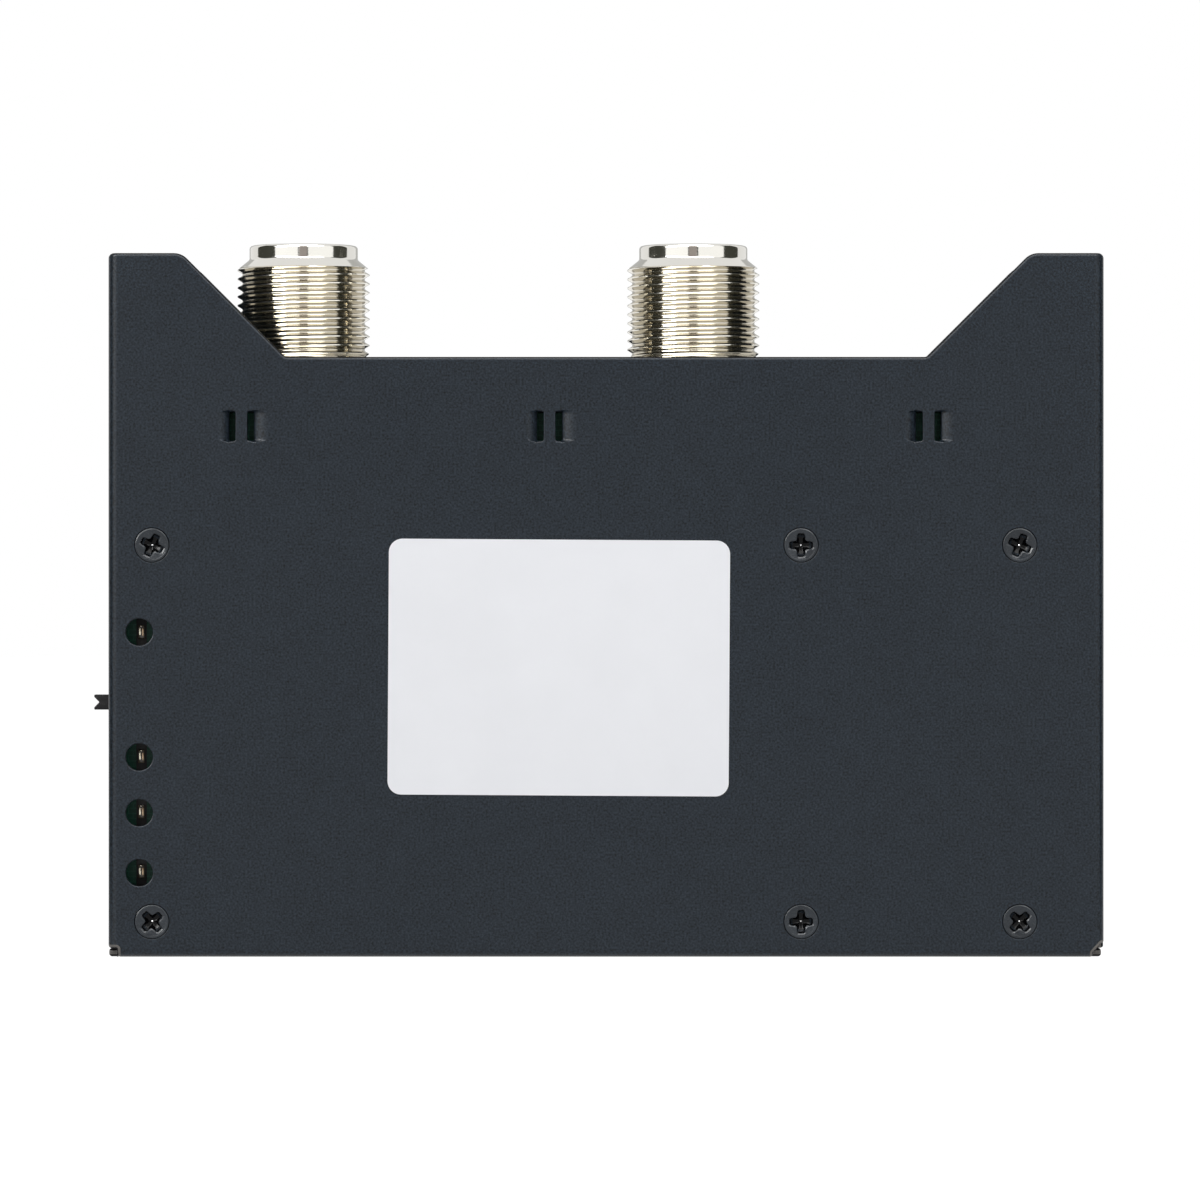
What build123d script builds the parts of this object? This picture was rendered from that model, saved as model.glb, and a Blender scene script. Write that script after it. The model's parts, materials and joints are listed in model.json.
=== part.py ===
from build123d import *
import os
from math import radians, tan

# Two-port antenna analyzer in a folded sheet-steel case.
# It stands on its bottom edge: +Z runs up to the two coaxial ports, the screen faces -Y and the
# back panel faces +Y. The origin is the middle of the bottom face. All sizes are millimetres.

# ---- case -------------------------------------------------------------------------------------
CASE_WIDTH = 118.0
CASE_DEPTH = 24.0
CASE_HEIGHT = 83.4
PANEL_HEIGHT = 71.1          # top edge of both panels between the ears
EAR_TOP_WIDTH = 8.7          # flat top of an ear, up to where its slant would start without rounding
EAR_SLANT_DEG = 45.0
EAR_SHOULDER_R = 2.2
EAR_FOOT_R = 0.8
EAR_CORNER_R = 0.7
SHEET = 1.0
BEND_R = 0.15                # inside radius of every fold
CORNER_RELIEF = 1.6
FOLD_GAP = 0.15              # between a side wall's lower edge and the bottom wall
BOTTOM_INSET = 0.1           # the bottom wall is this much narrower than the case, each side

# ---- front cover --------------------------------------------------------------------------------
COVER_CLEARANCE = 0.1
COVER_FLANGE = 6.0
COVER_BOTTOM_FLANGE_INSET = 4.0
WINDOW_CORNER_R = 1.0
BOSS_R = 2.2
BOSS_BORE_R = 0.8
BOSS_SIDE_GAP = 4.0          # from the display's side to a boss's axis
BOSS_END_INSET = 3.5         # from the display's top and bottom to a boss's axis

# ---- case fasteners -----------------------------------------------------------------------------
SCREW_R = 1.0
SCREW_HEAD_R = 2.0
SCREW_LENGTH = 5.2
SCREW_FROM_PLUS_WALL = 5.2
SCREW_FROM_MINUS_WALL = 10.0
SCREW_MIDDLE_X = -23.1
SCREW_ROWS_Z = (48.8, 4.2)
SIDE_SCREW_LENGTH = 3.6
SIDE_SCREW_Y = -9.0
SIDE_SCREW_ROWS_Z = (14.0, 54.0)
SPACER_R = 2.0               # to the flats
THREAD_GAP = 0.04            # between a screw and the thread it turns in

# ---- windows, bridges and label in the back panel ----------------------------------------------
LED_FROM_WALL = 3.7
LED_ROWS_Z = (38.5, 23.7, 17.1, 10.0)
LED_WINDOW_R = 1.6
BRIDGE_FROM_PLUS_WALL = 15.8
BRIDGE_FROM_MINUS_WALL = 20.8
BRIDGE_MIDDLE_X = 6.7
BRIDGE_DROP = 8.2            # below the panels' top edge
BRIDGE_STRAP = 1.45
BRIDGE_SLIT = 0.7
BRIDGE_HEIGHT = 3.45
BRIDGE_RAMP = 2.1
BRIDGE_DEPTH = 0.9
BRIDGE_CORNER_R = 1.1
LABEL_X = 5.6
LABEL_Z = 34.3
LABEL_WIDTH = 40.4
LABEL_HEIGHT = 30.3
LABEL_CORNER_R = 1.6
LABEL_THICKNESS = 0.12
LABEL_TILT_DEG = 0.35

# ---- connector bracket --------------------------------------------------------------------------
BRACKET_DROP = 2.9           # its top below the panels' top edge
BRACKET_REAR_FLANGE = 10.6
BRACKET_FRONT_FLANGE = 3.8
BRACKET_END_GAP = 0.15       # to the side walls
BRACKET_NOTCH_GAP = 0.3      # round the front cover's side flanges
BRACKET_WINDOW_MARGIN = 0.9

# ---- coaxial ports (5/8-24 thread) --------------------------------------------------------------
PORT_FROM_WALL = 22.65
PORT_SPACING = 46.85
PORT_Y = 0.0
THREAD_R = 7.9375
THREAD_LENGTH = 14.3         # above the bracket
UNDERCUT_WIDTH = 0.6         # thread relief just above the nut
UNDERCUT_DEPTH = 0.45
NOSE_R = 6.5
NOSE_CONE = 1.05
NOSE_LENGTH = 1.75
NOSE_BEVEL = 0.3
SOCKET_BORE_R = 4.05
SOCKET_DEPTH = 9.15
CONTACT_R = 1.52
CONTACT_STAND = 4.8          # contact above the insulator's face
CONTACT_BORE_R = 0.83
CONTACT_SLOT = 0.3
JACK_HEX = 18.0
JACK_HEX_THICKNESS = 2.0
BARREL_R = 4.95
BARREL_LENGTH = 5.6
PANEL_HOLE_CLEARANCE = 0.15
NUT_HEX = 19.0
NUT_THICKNESS = 2.0
WASHER_R = 9.6
WASHER_THICKNESS = 0.6
COAX_R = 1.79
COAX_FERRULE_R = 3.1
COAX_FERRULE_LENGTH = 2.2
COAX_RUN = 5.0               # from the jack's barrel to the elbow
COAX_ELBOW = 4.4             # square

# ---- main board ---------------------------------------------------------------------------------
BOARD_SET_BACK = 4.3         # board's rear face behind the back panel's outside
BOARD_THICKNESS = 1.6
BOARD_EDGE_GAP = 0.6
BOARD_FOOT = 1.6
BOARD_TOP_GAP = 3.6          # below the bracket's top
BOARD_CORNER_R = 1.5
SHIELD_HEIGHT = 3.0
SHIELD_WALL = 0.3
SHIELD_DEPTH = 30.0
SHIELD_Z = 33.0
SHIELD_FLEX_GAP = 2.9        # from the flex socket to the port 2 can
SHIELD_KEY_GAP = 8.9         # from the key switches to the port 1 can
SHIELD_GAP = 8.0             # between the cans
LED_SIZE = (0.8, 0.6, 1.6)   # X, Y, Z
CHIP_THICKNESS = 1.2
RECEIVER_CHIP = 10.0         # square, one inside each can
CHARGER_CHIP = (30.0, 10.0, 7.0)     # X, Z and side
PROCESSOR_CHIP = (-32.0, 10.0, 6.0)

# ---- USB-C socket, in the +X wall ---------------------------------------------------------------
USB_Z = 40.6
USB_WIDTH = 8.94
USB_HEIGHT = 3.16
USB_LENGTH = 7.35
USB_WALL = 0.3
USB_MOUTH_SET_BACK = 0.4
USB_TONGUE_WIDTH = 6.7
USB_TONGUE_THICKNESS = 0.7
USB_TONGUE_LENGTH = 4.6
USB_SLOT_GAP = 0.35

# ---- slide switch, in the +X wall ---------------------------------------------------------------
SWITCH_Z = 31.2
SWITCH_TRAVEL = 2.0
SWITCH_LENGTH = 6.7
SWITCH_HEIGHT = 3.5
SWITCH_DEPTH = 4.0
SWITCH_WALL = 0.5
SWITCH_GAP = 0.2             # knob to housing
KNOB_STAND = 2.3
KNOB_WIDTH_Y = 1.5
KNOB_WIDTH_Z = 1.8
KNOB_NOTCH = 0.6
KNOB_LIP = 0.25              # left each side of the notch
SLIDER_WIDTH_Z = 2.9
SLIDER_DEPTH = 1.6
WALL_SLOT_GAP = 0.35

# ---- three key switches, in the +X wall ---------------------------------------------------------
KEYS_Z = {"left_key": 23.7, "enter_key": 17.1, "right_key": 10.0}
KEY_TRAVEL = 0.3
KEY_HEAD_R = 1.7
KEY_STEM_R = 1.1
KEY_STEM_DEPTH = 1.0         # stem inside the switch body
KEY_SET_BACK = 0.15          # key face below the wall
KEY_RADIAL_GAP = 0.3
KEY_BODY_WIDTH = 6.0
KEY_BODY_HEIGHT = 3.6
KEY_BODY_DEPTH = 3.5
KEY_STOP_GAP = 0.1           # left under the key's shoulder at full travel

# ---- display ------------------------------------------------------------------------------------
DISPLAY_SIDE_ROOM = 11.5     # from the display to the case's outside, each side
DISPLAY_FOOT = 4.3
DISPLAY_TOP_ROOM = 7.8       # from the display up to the panels' top edge
VIEW_SIDE_BORDER = 5.25      # display hidden behind the cover at each side of the window
VIEW_END_BORDER = 1.25       # and above and below it
GASKET_THICKNESS = 0.3
TOUCH_THICKNESS = 1.2
LCD_THICKNESS = 2.5
DISPLAY_CORNER_R = 0.8
TRAY_SHEET = 0.8
TRAY_LUG = 6.0
TRAY_SCREW_R = 0.75
TRAY_SCREW_HEAD_R = 1.6
TRAY_SCREW_HEAD = 1.0
TRAY_SCREW_LENGTH = 4.0
FLEX_THICKNESS = 0.2
FLEX_WIDTH = 26.0
FLEX_BEND_R = 1.6
FLEX_REACH = 3.6             # how far the flex loops past the panel's edge
FLEX_SOCKET_HEIGHT = 1.2
FLEX_SOCKET_LENGTH = 4.0

# ---- battery ------------------------------------------------------------------------------------
BATTERY_WIDTH = 60.0
BATTERY_HEIGHT = 40.0
BATTERY_THICKNESS = 6.0
BATTERY_X = -6.0
BATTERY_Z = 28.0
BATTERY_EDGE_R = 1.6
PAD_THICKNESS = 0.3
PAD_MARGIN = 4.0
LEAD_WIDTH = 3.2             # flat twin lead
LEAD_THICKNESS = 1.2
LEAD_BEND_R = 2.0
LEAD_RISE = 4.6
BATTERY_SOCKET = (6.0, 4.0, 4.6)   # X, Y, Z
BATTERY_SOCKET_X = -28.0

# ---- places worked out from the sizes above -----------------------------------------------------
REAR = CASE_DEPTH / 2
FRONT = -CASE_DEPTH / 2
WALL_X = CASE_WIDTH / 2
EAR_RISE = CASE_HEIGHT - PANEL_HEIGHT
SCREW_COLUMNS_X = (WALL_X - SCREW_FROM_PLUS_WALL, SCREW_MIDDLE_X, -WALL_X + SCREW_FROM_MINUS_WALL)
LED_X = WALL_X - LED_FROM_WALL
BRIDGE_COLUMNS_X = (WALL_X - BRIDGE_FROM_PLUS_WALL, BRIDGE_MIDDLE_X, -WALL_X + BRIDGE_FROM_MINUS_WALL)
BRIDGE_Z = PANEL_HEIGHT - BRIDGE_DROP
PORTS_X = {"port_1": WALL_X - PORT_FROM_WALL, "port_2": WALL_X - PORT_FROM_WALL - PORT_SPACING}
BRACKET_TOP = PANEL_HEIGHT - BRACKET_DROP
THREAD_TOP = BRACKET_TOP + THREAD_LENGTH
NOSE_FOOT = THREAD_TOP + NOSE_CONE
NOSE_TOP = NOSE_FOOT + NOSE_LENGTH
BOARD_TOP = BRACKET_TOP - BOARD_TOP_GAP
DISPLAY_WIDTH = CASE_WIDTH - 2 * DISPLAY_SIDE_ROOM
DISPLAY_HEIGHT = PANEL_HEIGHT - DISPLAY_TOP_ROOM - DISPLAY_FOOT
DISPLAY_Z = DISPLAY_FOOT + DISPLAY_HEIGHT / 2
WINDOW_WIDTH = DISPLAY_WIDTH - 2 * VIEW_SIDE_BORDER
WINDOW_HEIGHT = DISPLAY_HEIGHT - 2 * VIEW_END_BORDER
BOSS_X = DISPLAY_WIDTH / 2 + BOSS_SIDE_GAP
COVER_WIDTH = CASE_WIDTH - 2 * (SHEET + COVER_CLEARANCE)
COVER_FOOT = SHEET + COVER_CLEARANCE
BOARD_REAR = REAR - BOARD_SET_BACK
BOARD_FRONT = BOARD_REAR - BOARD_THICKNESS
BOARD_EDGE = WALL_X - SHEET - BOARD_EDGE_GAP
TOUCH_FRONT = FRONT + SHEET + GASKET_THICKNESS
LCD_FRONT = TOUCH_FRONT + TOUCH_THICKNESS
TRAY_FRONT = LCD_FRONT + LCD_THICKNESS
TRAY_REAR = TRAY_FRONT + TRAY_SHEET
BATTERY_FRONT = TRAY_REAR + PAD_THICKNESS
SOCKET_FLOOR = NOSE_TOP - SOCKET_DEPTH
BRACKET_UNDER = BRACKET_TOP - SHEET
BARREL_FOOT = BRACKET_UNDER - JACK_HEX_THICKNESS - BARREL_LENGTH
USB_Y = BOARD_FRONT - USB_HEIGHT / 2
SWITCH_Y = BOARD_FRONT - SWITCH_HEIGHT / 2
KEY_Y = BOARD_FRONT - KEY_BODY_HEIGHT / 2
KNOB_REST_Z = SWITCH_Z - SWITCH_TRAVEL / 2
FLEX_MOUTH = -DISPLAY_WIDTH / 2 - FLEX_REACH + 2 * FLEX_BEND_R
SHIELDS_FROM = FLEX_MOUTH + FLEX_SOCKET_LENGTH + SHIELD_FLEX_GAP
SHIELDS_TO = BOARD_EDGE - KEY_BODY_DEPTH - SHIELD_KEY_GAP
SHIELD_WIDTH = (SHIELDS_TO - SHIELDS_FROM - SHIELD_GAP) / 2
SHIELDS_X = {"port_1": SHIELDS_TO - SHIELD_WIDTH / 2, "port_2": SHIELDS_FROM + SHIELD_WIDTH / 2}


def xz_slab(outline, y_low, y_high):
    """A flat piece parallel to the back panel, its outline drawn as (X, Z)."""
    plane = Plane(origin=(0, y_high, 0), x_dir=(1, 0, 0), z_dir=(0, -1, 0))
    return extrude(plane * outline, amount=y_high - y_low)


def yz_bar(section, x_low, x_high):
    """A bar along X, its section drawn as (Y, Z)."""
    plane = Plane(origin=(x_low, 0, 0), x_dir=(0, 1, 0), z_dir=(1, 0, 0))
    return extrude(plane * section, amount=x_high - x_low)


def xy_post(section, z_low, z_high):
    """An upright piece, its section drawn as (X, Y)."""
    return extrude(Pos(0, 0, z_low) * section, amount=z_high - z_low)


def rod_y(radius, x, z, y_low, y_high):
    """A round rod along Y."""
    return xz_slab(Pos(x, z) * Circle(radius), y_low, y_high)


def rod_x(radius, y, z, x_low, x_high):
    """A round rod along X."""
    return yz_bar(Pos(y, z) * Circle(radius), x_low, x_high)


def span(middle, size):
    """Low and high limit of a size about its middle."""
    return (middle - size / 2, middle + size / 2)


def block(x, y, z):
    """A box from its low and high limits along each axis."""
    size = (x[1] - x[0], y[1] - y[0], z[1] - z[0])
    middle = (sum(x) / 2, sum(y) / 2, sum(z) / 2)
    return Pos(*middle) * Box(*size)


def rounded_polygon(points, radii):
    """A flat face with straight sides and one corner radius for each point."""
    return make_face(FilletPolyline(*points, radius=radii, close=True))


def ear_outline(width, foot):
    """Outline of a panel with its two ears, as (X, Z)."""
    half = width / 2
    slant_top = CASE_WIDTH / 2 - EAR_TOP_WIDTH
    slant_foot = slant_top - EAR_RISE / tan(radians(EAR_SLANT_DEG))
    right = [(half, foot), (half, CASE_HEIGHT), (slant_top, CASE_HEIGHT), (slant_foot, PANEL_HEIGHT)]
    radii = [0, EAR_CORNER_R, EAR_SHOULDER_R, EAR_FOOT_R]
    left = [(-x, z) for x, z in reversed(right)]
    return rounded_polygon(right + left, radii + radii[::-1])


def folded_channel(width, depth, bend_r):
    """U section of a folded sheet as (X, Y): the web's outside on Y = 0, the legs towards -Y."""
    outside = Pos(0, -depth / 2) * Rectangle(width, depth)
    outside = fillet(outside.vertices().group_by(Axis.Y)[-1], bend_r + SHEET)
    inside = Pos(0, -SHEET - depth / 2) * Rectangle(width - 2 * SHEET, depth)
    inside = fillet(inside.vertices().group_by(Axis.Y)[-1], bend_r)
    return outside - inside


def folded_angle(reach, height, bend_r):
    """L section as (Y, Z): outer corner on the origin, one leg up, the foot towards -Y."""
    outside = Pos(-reach / 2, height / 2) * Rectangle(reach, height)
    corner = outside.vertices().group_by(Axis.X)[-1].sort_by(Axis.Y)[0]
    outside = fillet(corner, bend_r + SHEET)
    inside = Pos(-SHEET - reach / 2, SHEET + height / 2) * Rectangle(reach, height)
    corner = inside.vertices().group_by(Axis.X)[-1].sort_by(Axis.Y)[0]
    inside = fillet(corner, bend_r)
    return outside - inside


def countersunk_screw(length):
    """A countersunk screw along Z with the top of its head on Z = 0."""
    neck = SCREW_HEAD_R - SCREW_R
    profile = Polygon(
        (0, 0), (SCREW_HEAD_R, 0), (SCREW_R, -neck), (SCREW_R, -length), (0, -length), align=None
    )
    return revolve(Plane.XZ * profile, Axis.Z)


def bridge_ramp(side, grow):
    """One pressed ramp of a lanced bridge, sloping in to its slit, enlarged by grow all round."""
    slit_x = BRIDGE_STRAP / 2 + BRIDGE_SLIT
    outer_x = slit_x + BRIDGE_RAMP + grow
    half = BRIDGE_HEIGHT / 2 + grow
    corner_r = BRIDGE_CORNER_R + grow
    plan = rounded_polygon(
        [(slit_x, -half), (outer_x, -half), (outer_x, half), (slit_x, half)], [0, corner_r, corner_r, 0]
    )
    plug = xz_slab(plan, REAR - BRIDGE_DEPTH - grow, REAR)
    floor_y = REAR - BRIDGE_DEPTH - grow
    under = make_face(
        Polyline((slit_x, REAR), (outer_x, REAR), (outer_x - BRIDGE_SLIT, REAR - grow / 2),
                 (slit_x, floor_y), close=True)
    )
    ramp = plug & xy_post(under, -half - 1, half + 1)
    return ramp if side > 0 else mirror(ramp, about=Plane.YZ)


def add_bridges(shell):
    """Press the lanced bridges into the back panel: slits, ramps and the bumps behind the ramps."""
    for x in BRIDGE_COLUMNS_X:
        place = Pos(x, 0, BRIDGE_Z)
        for side in (1, -1):
            shell += place * bridge_ramp(side, SHEET)
        for side in (1, -1):
            shell -= place * bridge_ramp(side, 0)
            middle = side * (BRIDGE_STRAP + BRIDGE_SLIT) / 2
            slit = Pos(middle, 0) * Rectangle(BRIDGE_SLIT, BRIDGE_HEIGHT)
            shell -= place * xz_slab(slit, REAR - 2 * SHEET - BRIDGE_DEPTH, REAR + SHEET)
    return shell


def side_wall_cuts():
    """Cut-outs in the +X wall for the USB socket, the switch knob and the three keys."""
    x_range = (WALL_X - 2 * SHEET, WALL_X + SHEET)
    usb_width = USB_WIDTH + 2 * USB_SLOT_GAP
    usb_height = USB_HEIGHT + 2 * USB_SLOT_GAP
    usb = RectangleRounded(usb_height, usb_width, usb_height / 2 - 0.1)
    cuts = yz_bar(Pos(USB_Y, USB_Z) * usb, *x_range)
    knob_y = KNOB_WIDTH_Y + 2 * WALL_SLOT_GAP
    knob_z = KNOB_WIDTH_Z + SWITCH_TRAVEL + 2 * WALL_SLOT_GAP
    knob_slot = RectangleRounded(knob_y, knob_z, WALL_SLOT_GAP)
    cuts += yz_bar(Pos(SWITCH_Y, SWITCH_Z) * knob_slot, *x_range)
    for z in KEYS_Z.values():
        cuts += rod_x(KEY_HEAD_R + KEY_RADIAL_GAP, KEY_Y, z, *x_range)
    return cuts


def side_screw_places():
    """Each side screw's place: its seat on a side wall, pointing inwards."""
    for z in SIDE_SCREW_ROWS_Z:
        yield Pos(WALL_X, SIDE_SCREW_Y, z) * Rot(Y=90)
        yield Pos(-WALL_X, SIDE_SCREW_Y, z) * Rot(Y=-90)


def case_screw_places():
    """Each case screw's place: its seat in the back panel, pointing forwards."""
    for x in SCREW_COLUMNS_X:
        for z in SCREW_ROWS_Z:
            yield Pos(x, REAR, z) * Rot(X=-90)


def sheet_cone():
    """Tool for a countersink whose foot is a screw's shank at the sheet's inner face."""
    over = SHEET
    profile = Polygon((0, over), (SCREW_HEAD_R + over, over), (SCREW_R, -SHEET), (0, -SHEET), align=None)
    return revolve(Plane.XZ * profile, Axis.Z)


def rear_shell():
    """Back panel with its ears, two side walls and the bottom wall, folded from one sheet."""
    side_foot = SHEET + FOLD_GAP
    channel = Pos(0, REAR) * folded_channel(CASE_WIDTH, CASE_DEPTH, BEND_R)
    shell = xy_post(channel, side_foot, CASE_HEIGHT)
    angle = Pos(REAR, 0) * folded_angle(CASE_DEPTH, CORNER_RELIEF, BEND_R)
    shell += yz_bar(angle, -WALL_X + BOTTOM_INSET, WALL_X - BOTTOM_INSET)
    for side in (1, -1):
        corner = sorted((side * (WALL_X - CORNER_RELIEF), side * (WALL_X + 1)))
        shell -= block(corner, (REAR - CORNER_RELIEF, REAR + 1), (-1, CORNER_RELIEF))
    shell &= xz_slab(ear_outline(CASE_WIDTH, 0), FRONT - 1, REAR + 1)
    shell = add_bridges(shell)
    for place in case_screw_places():
        shell -= place * sheet_cone()
    for place in side_screw_places():
        shell -= place * sheet_cone()
    for z in LED_ROWS_Z:
        shell -= rod_y(LED_WINDOW_R, LED_X, z, REAR - 2 * SHEET, REAR + SHEET)
    return shell - side_wall_cuts()


def front_cover():
    """Front panel with its ears, display window, side and bottom flanges and four bosses."""
    channel = mirror(folded_channel(COVER_WIDTH, COVER_FLANGE, BEND_R), about=Plane.XZ)
    cover = xy_post(Pos(0, FRONT) * channel, COVER_FOOT, CASE_HEIGHT)
    angle = mirror(folded_angle(COVER_FLANGE, 2 * SHEET, BEND_R), about=Plane.YZ)
    reach = COVER_WIDTH / 2 - COVER_BOTTOM_FLANGE_INSET
    cover += yz_bar(Pos(FRONT, COVER_FOOT) * angle, -reach, reach)
    cover &= xz_slab(ear_outline(COVER_WIDTH, 0), FRONT - 1, REAR)
    window = RectangleRounded(WINDOW_WIDTH, WINDOW_HEIGHT, WINDOW_CORNER_R)
    cover -= xz_slab(Pos(0, DISPLAY_Z) * window, FRONT - 1, FRONT + 2 * SHEET)
    for x, z in tray_corners():
        cover += rod_y(BOSS_R, x, z, FRONT + SHEET, TRAY_FRONT)
    for x, z in tray_corners():
        cover -= rod_y(BOSS_BORE_R, x, z, FRONT + SHEET, TRAY_FRONT + SHEET)
    for place in side_screw_places():
        cover -= place * Pos(0, 0, -SIDE_SCREW_LENGTH / 2) * Cylinder(SCREW_R + THREAD_GAP, SIDE_SCREW_LENGTH)
    return cover


def tray_corners():
    """Where the display tray is screwed to the front cover, as (X, Z)."""
    for x in (BOSS_X, -BOSS_X):
        for z in (DISPLAY_FOOT + BOSS_END_INSET, DISPLAY_FOOT + DISPLAY_HEIGHT - BOSS_END_INSET):
            yield x, z


def connector_bracket():
    """Inverted channel that carries both jacks, with windows that clear the lanced bridges."""
    end = WALL_X - SHEET - BRACKET_END_GAP
    reach = CASE_DEPTH - 2 * SHEET
    section = folded_channel(reach, BRACKET_REAR_FLANGE, BEND_R)
    short_of = BRACKET_REAR_FLANGE - BRACKET_FRONT_FLANGE
    section -= Pos(-reach / 2, -BRACKET_REAR_FLANGE) * Rectangle(3 * SHEET, 2 * short_of)
    bracket = yz_bar(Pos(0, BRACKET_TOP) * section, -end, end)
    notch_x = COVER_WIDTH / 2 - SHEET - BRACKET_NOTCH_GAP
    for side in (1, -1):
        corner = sorted((side * notch_x, side * (end + 1)))
        notch_y = (FRONT, FRONT + COVER_FLANGE + BRACKET_NOTCH_GAP)
        bracket -= block(corner, notch_y, (BRACKET_TOP - BRACKET_REAR_FLANGE, BRACKET_TOP + 1))
    for x in PORTS_X.values():
        hole = Circle(THREAD_R + PANEL_HOLE_CLEARANCE)
        bracket -= xy_post(Pos(x, PORT_Y) * hole, BRACKET_UNDER - 1, BRACKET_TOP + 1)
    wide = BRIDGE_STRAP + 2 * (BRIDGE_SLIT + BRIDGE_RAMP + SHEET + BRACKET_WINDOW_MARGIN)
    tall = BRIDGE_HEIGHT + 2 * (SHEET + BRACKET_WINDOW_MARGIN)
    for x in BRIDGE_COLUMNS_X:
        window = Pos(x, BRIDGE_Z) * RectangleRounded(wide, tall, BRIDGE_CORNER_R)
        bracket -= xz_slab(window, REAR - 3 * SHEET, REAR)
    return bracket


def revolved(points):
    """A solid of revolution about Z from a closed (radius, height) profile."""
    return revolve(Plane.XZ * Polygon(*points, align=None), Axis.Z)


def hexagon(across_flats):
    """A hexagon with two flats square to Y."""
    return RegularPolygon(across_flats / 2, 6, major_radius=False)


def jack_body():
    """One socket's shell: barrel, hexagon under the bracket, threaded neck and nose ring."""
    hex_foot = BRACKET_UNDER - JACK_HEX_THICKNESS
    nut_top = BRACKET_TOP + WASHER_THICKNESS + NUT_THICKNESS
    relief_r = THREAD_R - UNDERCUT_DEPTH
    outside = revolved([
        (0, BARREL_FOOT), (BARREL_R, BARREL_FOOT), (BARREL_R, BRACKET_UNDER), (THREAD_R, BRACKET_UNDER),
        (THREAD_R, nut_top), (relief_r, nut_top), (relief_r, nut_top + UNDERCUT_WIDTH),
        (THREAD_R, nut_top + UNDERCUT_WIDTH), (THREAD_R, THREAD_TOP), (NOSE_R, NOSE_FOOT),
        (NOSE_R, NOSE_TOP - NOSE_BEVEL), (NOSE_R - NOSE_BEVEL, NOSE_TOP), (0, NOSE_TOP)])
    flange = xy_post(hexagon(JACK_HEX), hex_foot, BRACKET_UNDER)
    bore = xy_post(Circle(SOCKET_BORE_R), BARREL_FOOT - 1, NOSE_TOP + 1)
    return outside + flange - bore


def jack_insulator():
    """The white bush that holds the contact on the socket's axis."""
    return xy_post(Circle(SOCKET_BORE_R) - Circle(CONTACT_R), BARREL_FOOT, SOCKET_FLOOR)


def jack_contact():
    """The centre contact: a rod whose top is bored and slotted into four springs."""
    tip = SOCKET_FLOOR + CONTACT_STAND
    contact = xy_post(Circle(CONTACT_R), BARREL_FOOT, tip)
    contact -= xy_post(Circle(CONTACT_BORE_R), SOCKET_FLOOR, tip + 1)
    for turn in (0, 90):
        slot = Rot(Z=turn) * Rectangle(4 * CONTACT_R, CONTACT_SLOT)
        contact -= xy_post(slot, SOCKET_FLOOR + CONTACT_STAND / 4, tip + 1)
    return contact


def jack_nut():
    """Thin hexagon nut on its washer."""
    foot = BRACKET_TOP + WASHER_THICKNESS
    return xy_post(hexagon(NUT_HEX) - Circle(THREAD_R + THREAD_GAP), foot, foot + NUT_THICKNESS)


def jack_washer():
    """Washer between a nut and the bracket."""
    ring = Circle(WASHER_R) - Circle(THREAD_R + THREAD_GAP)
    return xy_post(ring, BRACKET_TOP, BRACKET_TOP + WASHER_THICKNESS)


def coax_jumper():
    """Rigid coax from a jack's barrel down into an elbow that is soldered to the board's face."""
    elbow_z = BARREL_FOOT - COAX_RUN - COAX_ELBOW / 2
    jumper = xy_post(Circle(COAX_FERRULE_R), BARREL_FOOT - COAX_FERRULE_LENGTH, BARREL_FOOT)
    jumper += xy_post(Circle(COAX_R), elbow_z, BARREL_FOOT)
    elbow_y = (PORT_Y - COAX_ELBOW / 2, BOARD_FRONT)
    return Pos(0, PORT_Y) * jumper + block(span(0, COAX_ELBOW), elbow_y, span(elbow_z, COAX_ELBOW))


def main_board():
    """The circuit board, drilled for the case screws."""
    height = BOARD_TOP - BOARD_FOOT
    outline = RectangleRounded(2 * BOARD_EDGE, height, BOARD_CORNER_R)
    board = xz_slab(Pos(0, BOARD_FOOT + height / 2) * outline, BOARD_FRONT, BOARD_REAR)
    for x in SCREW_COLUMNS_X:
        for z in SCREW_ROWS_Z:
            board -= rod_y(SCREW_R + 2 * THREAD_GAP, x, z, BOARD_FRONT - 1, BOARD_REAR + 1)
    return board


def board_spacers():
    """Threaded hexagon spacers between the back panel and the board."""
    ring = hexagon(2 * SPACER_R) - Circle(SCREW_R + THREAD_GAP)
    spacers = Part()
    for x in SCREW_COLUMNS_X:
        for z in SCREW_ROWS_Z:
            spacers += xz_slab(Pos(x, z) * ring, BOARD_REAR, REAR - SHEET)
    return spacers


def shield_can(x):
    """Folded metal can over one receiver, open towards the board."""
    face = BOARD_FRONT - SHIELD_HEIGHT
    can = xz_slab(Pos(x, SHIELD_Z) * Rectangle(SHIELD_WIDTH, SHIELD_DEPTH), face, BOARD_FRONT)
    inside = Rectangle(SHIELD_WIDTH - 2 * SHIELD_WALL, SHIELD_DEPTH - 2 * SHIELD_WALL)
    return can - xz_slab(Pos(x, SHIELD_Z) * inside, face + SHIELD_WALL, BOARD_FRONT + 1)


def board_chips():
    """The larger chips on the board: a receiver inside each can, charger and processor below."""
    chips = Part()
    receivers = [(x, SHIELD_Z, RECEIVER_CHIP) for x in SHIELDS_X.values()]
    for x, z, side in receivers + [CHARGER_CHIP, PROCESSOR_CHIP]:
        chips += xz_slab(Pos(x, z) * Rectangle(side, side), BOARD_FRONT - CHIP_THICKNESS, BOARD_FRONT)
    return chips


def status_leds():
    """One small lamp on the board's rear face behind each round window."""
    leds = Part()
    for z in LED_ROWS_Z:
        outline = Pos(LED_X, z) * Rectangle(LED_SIZE[0], LED_SIZE[2])
        leds += xz_slab(outline, BOARD_REAR, BOARD_REAR + LED_SIZE[1])
    return leds


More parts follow.
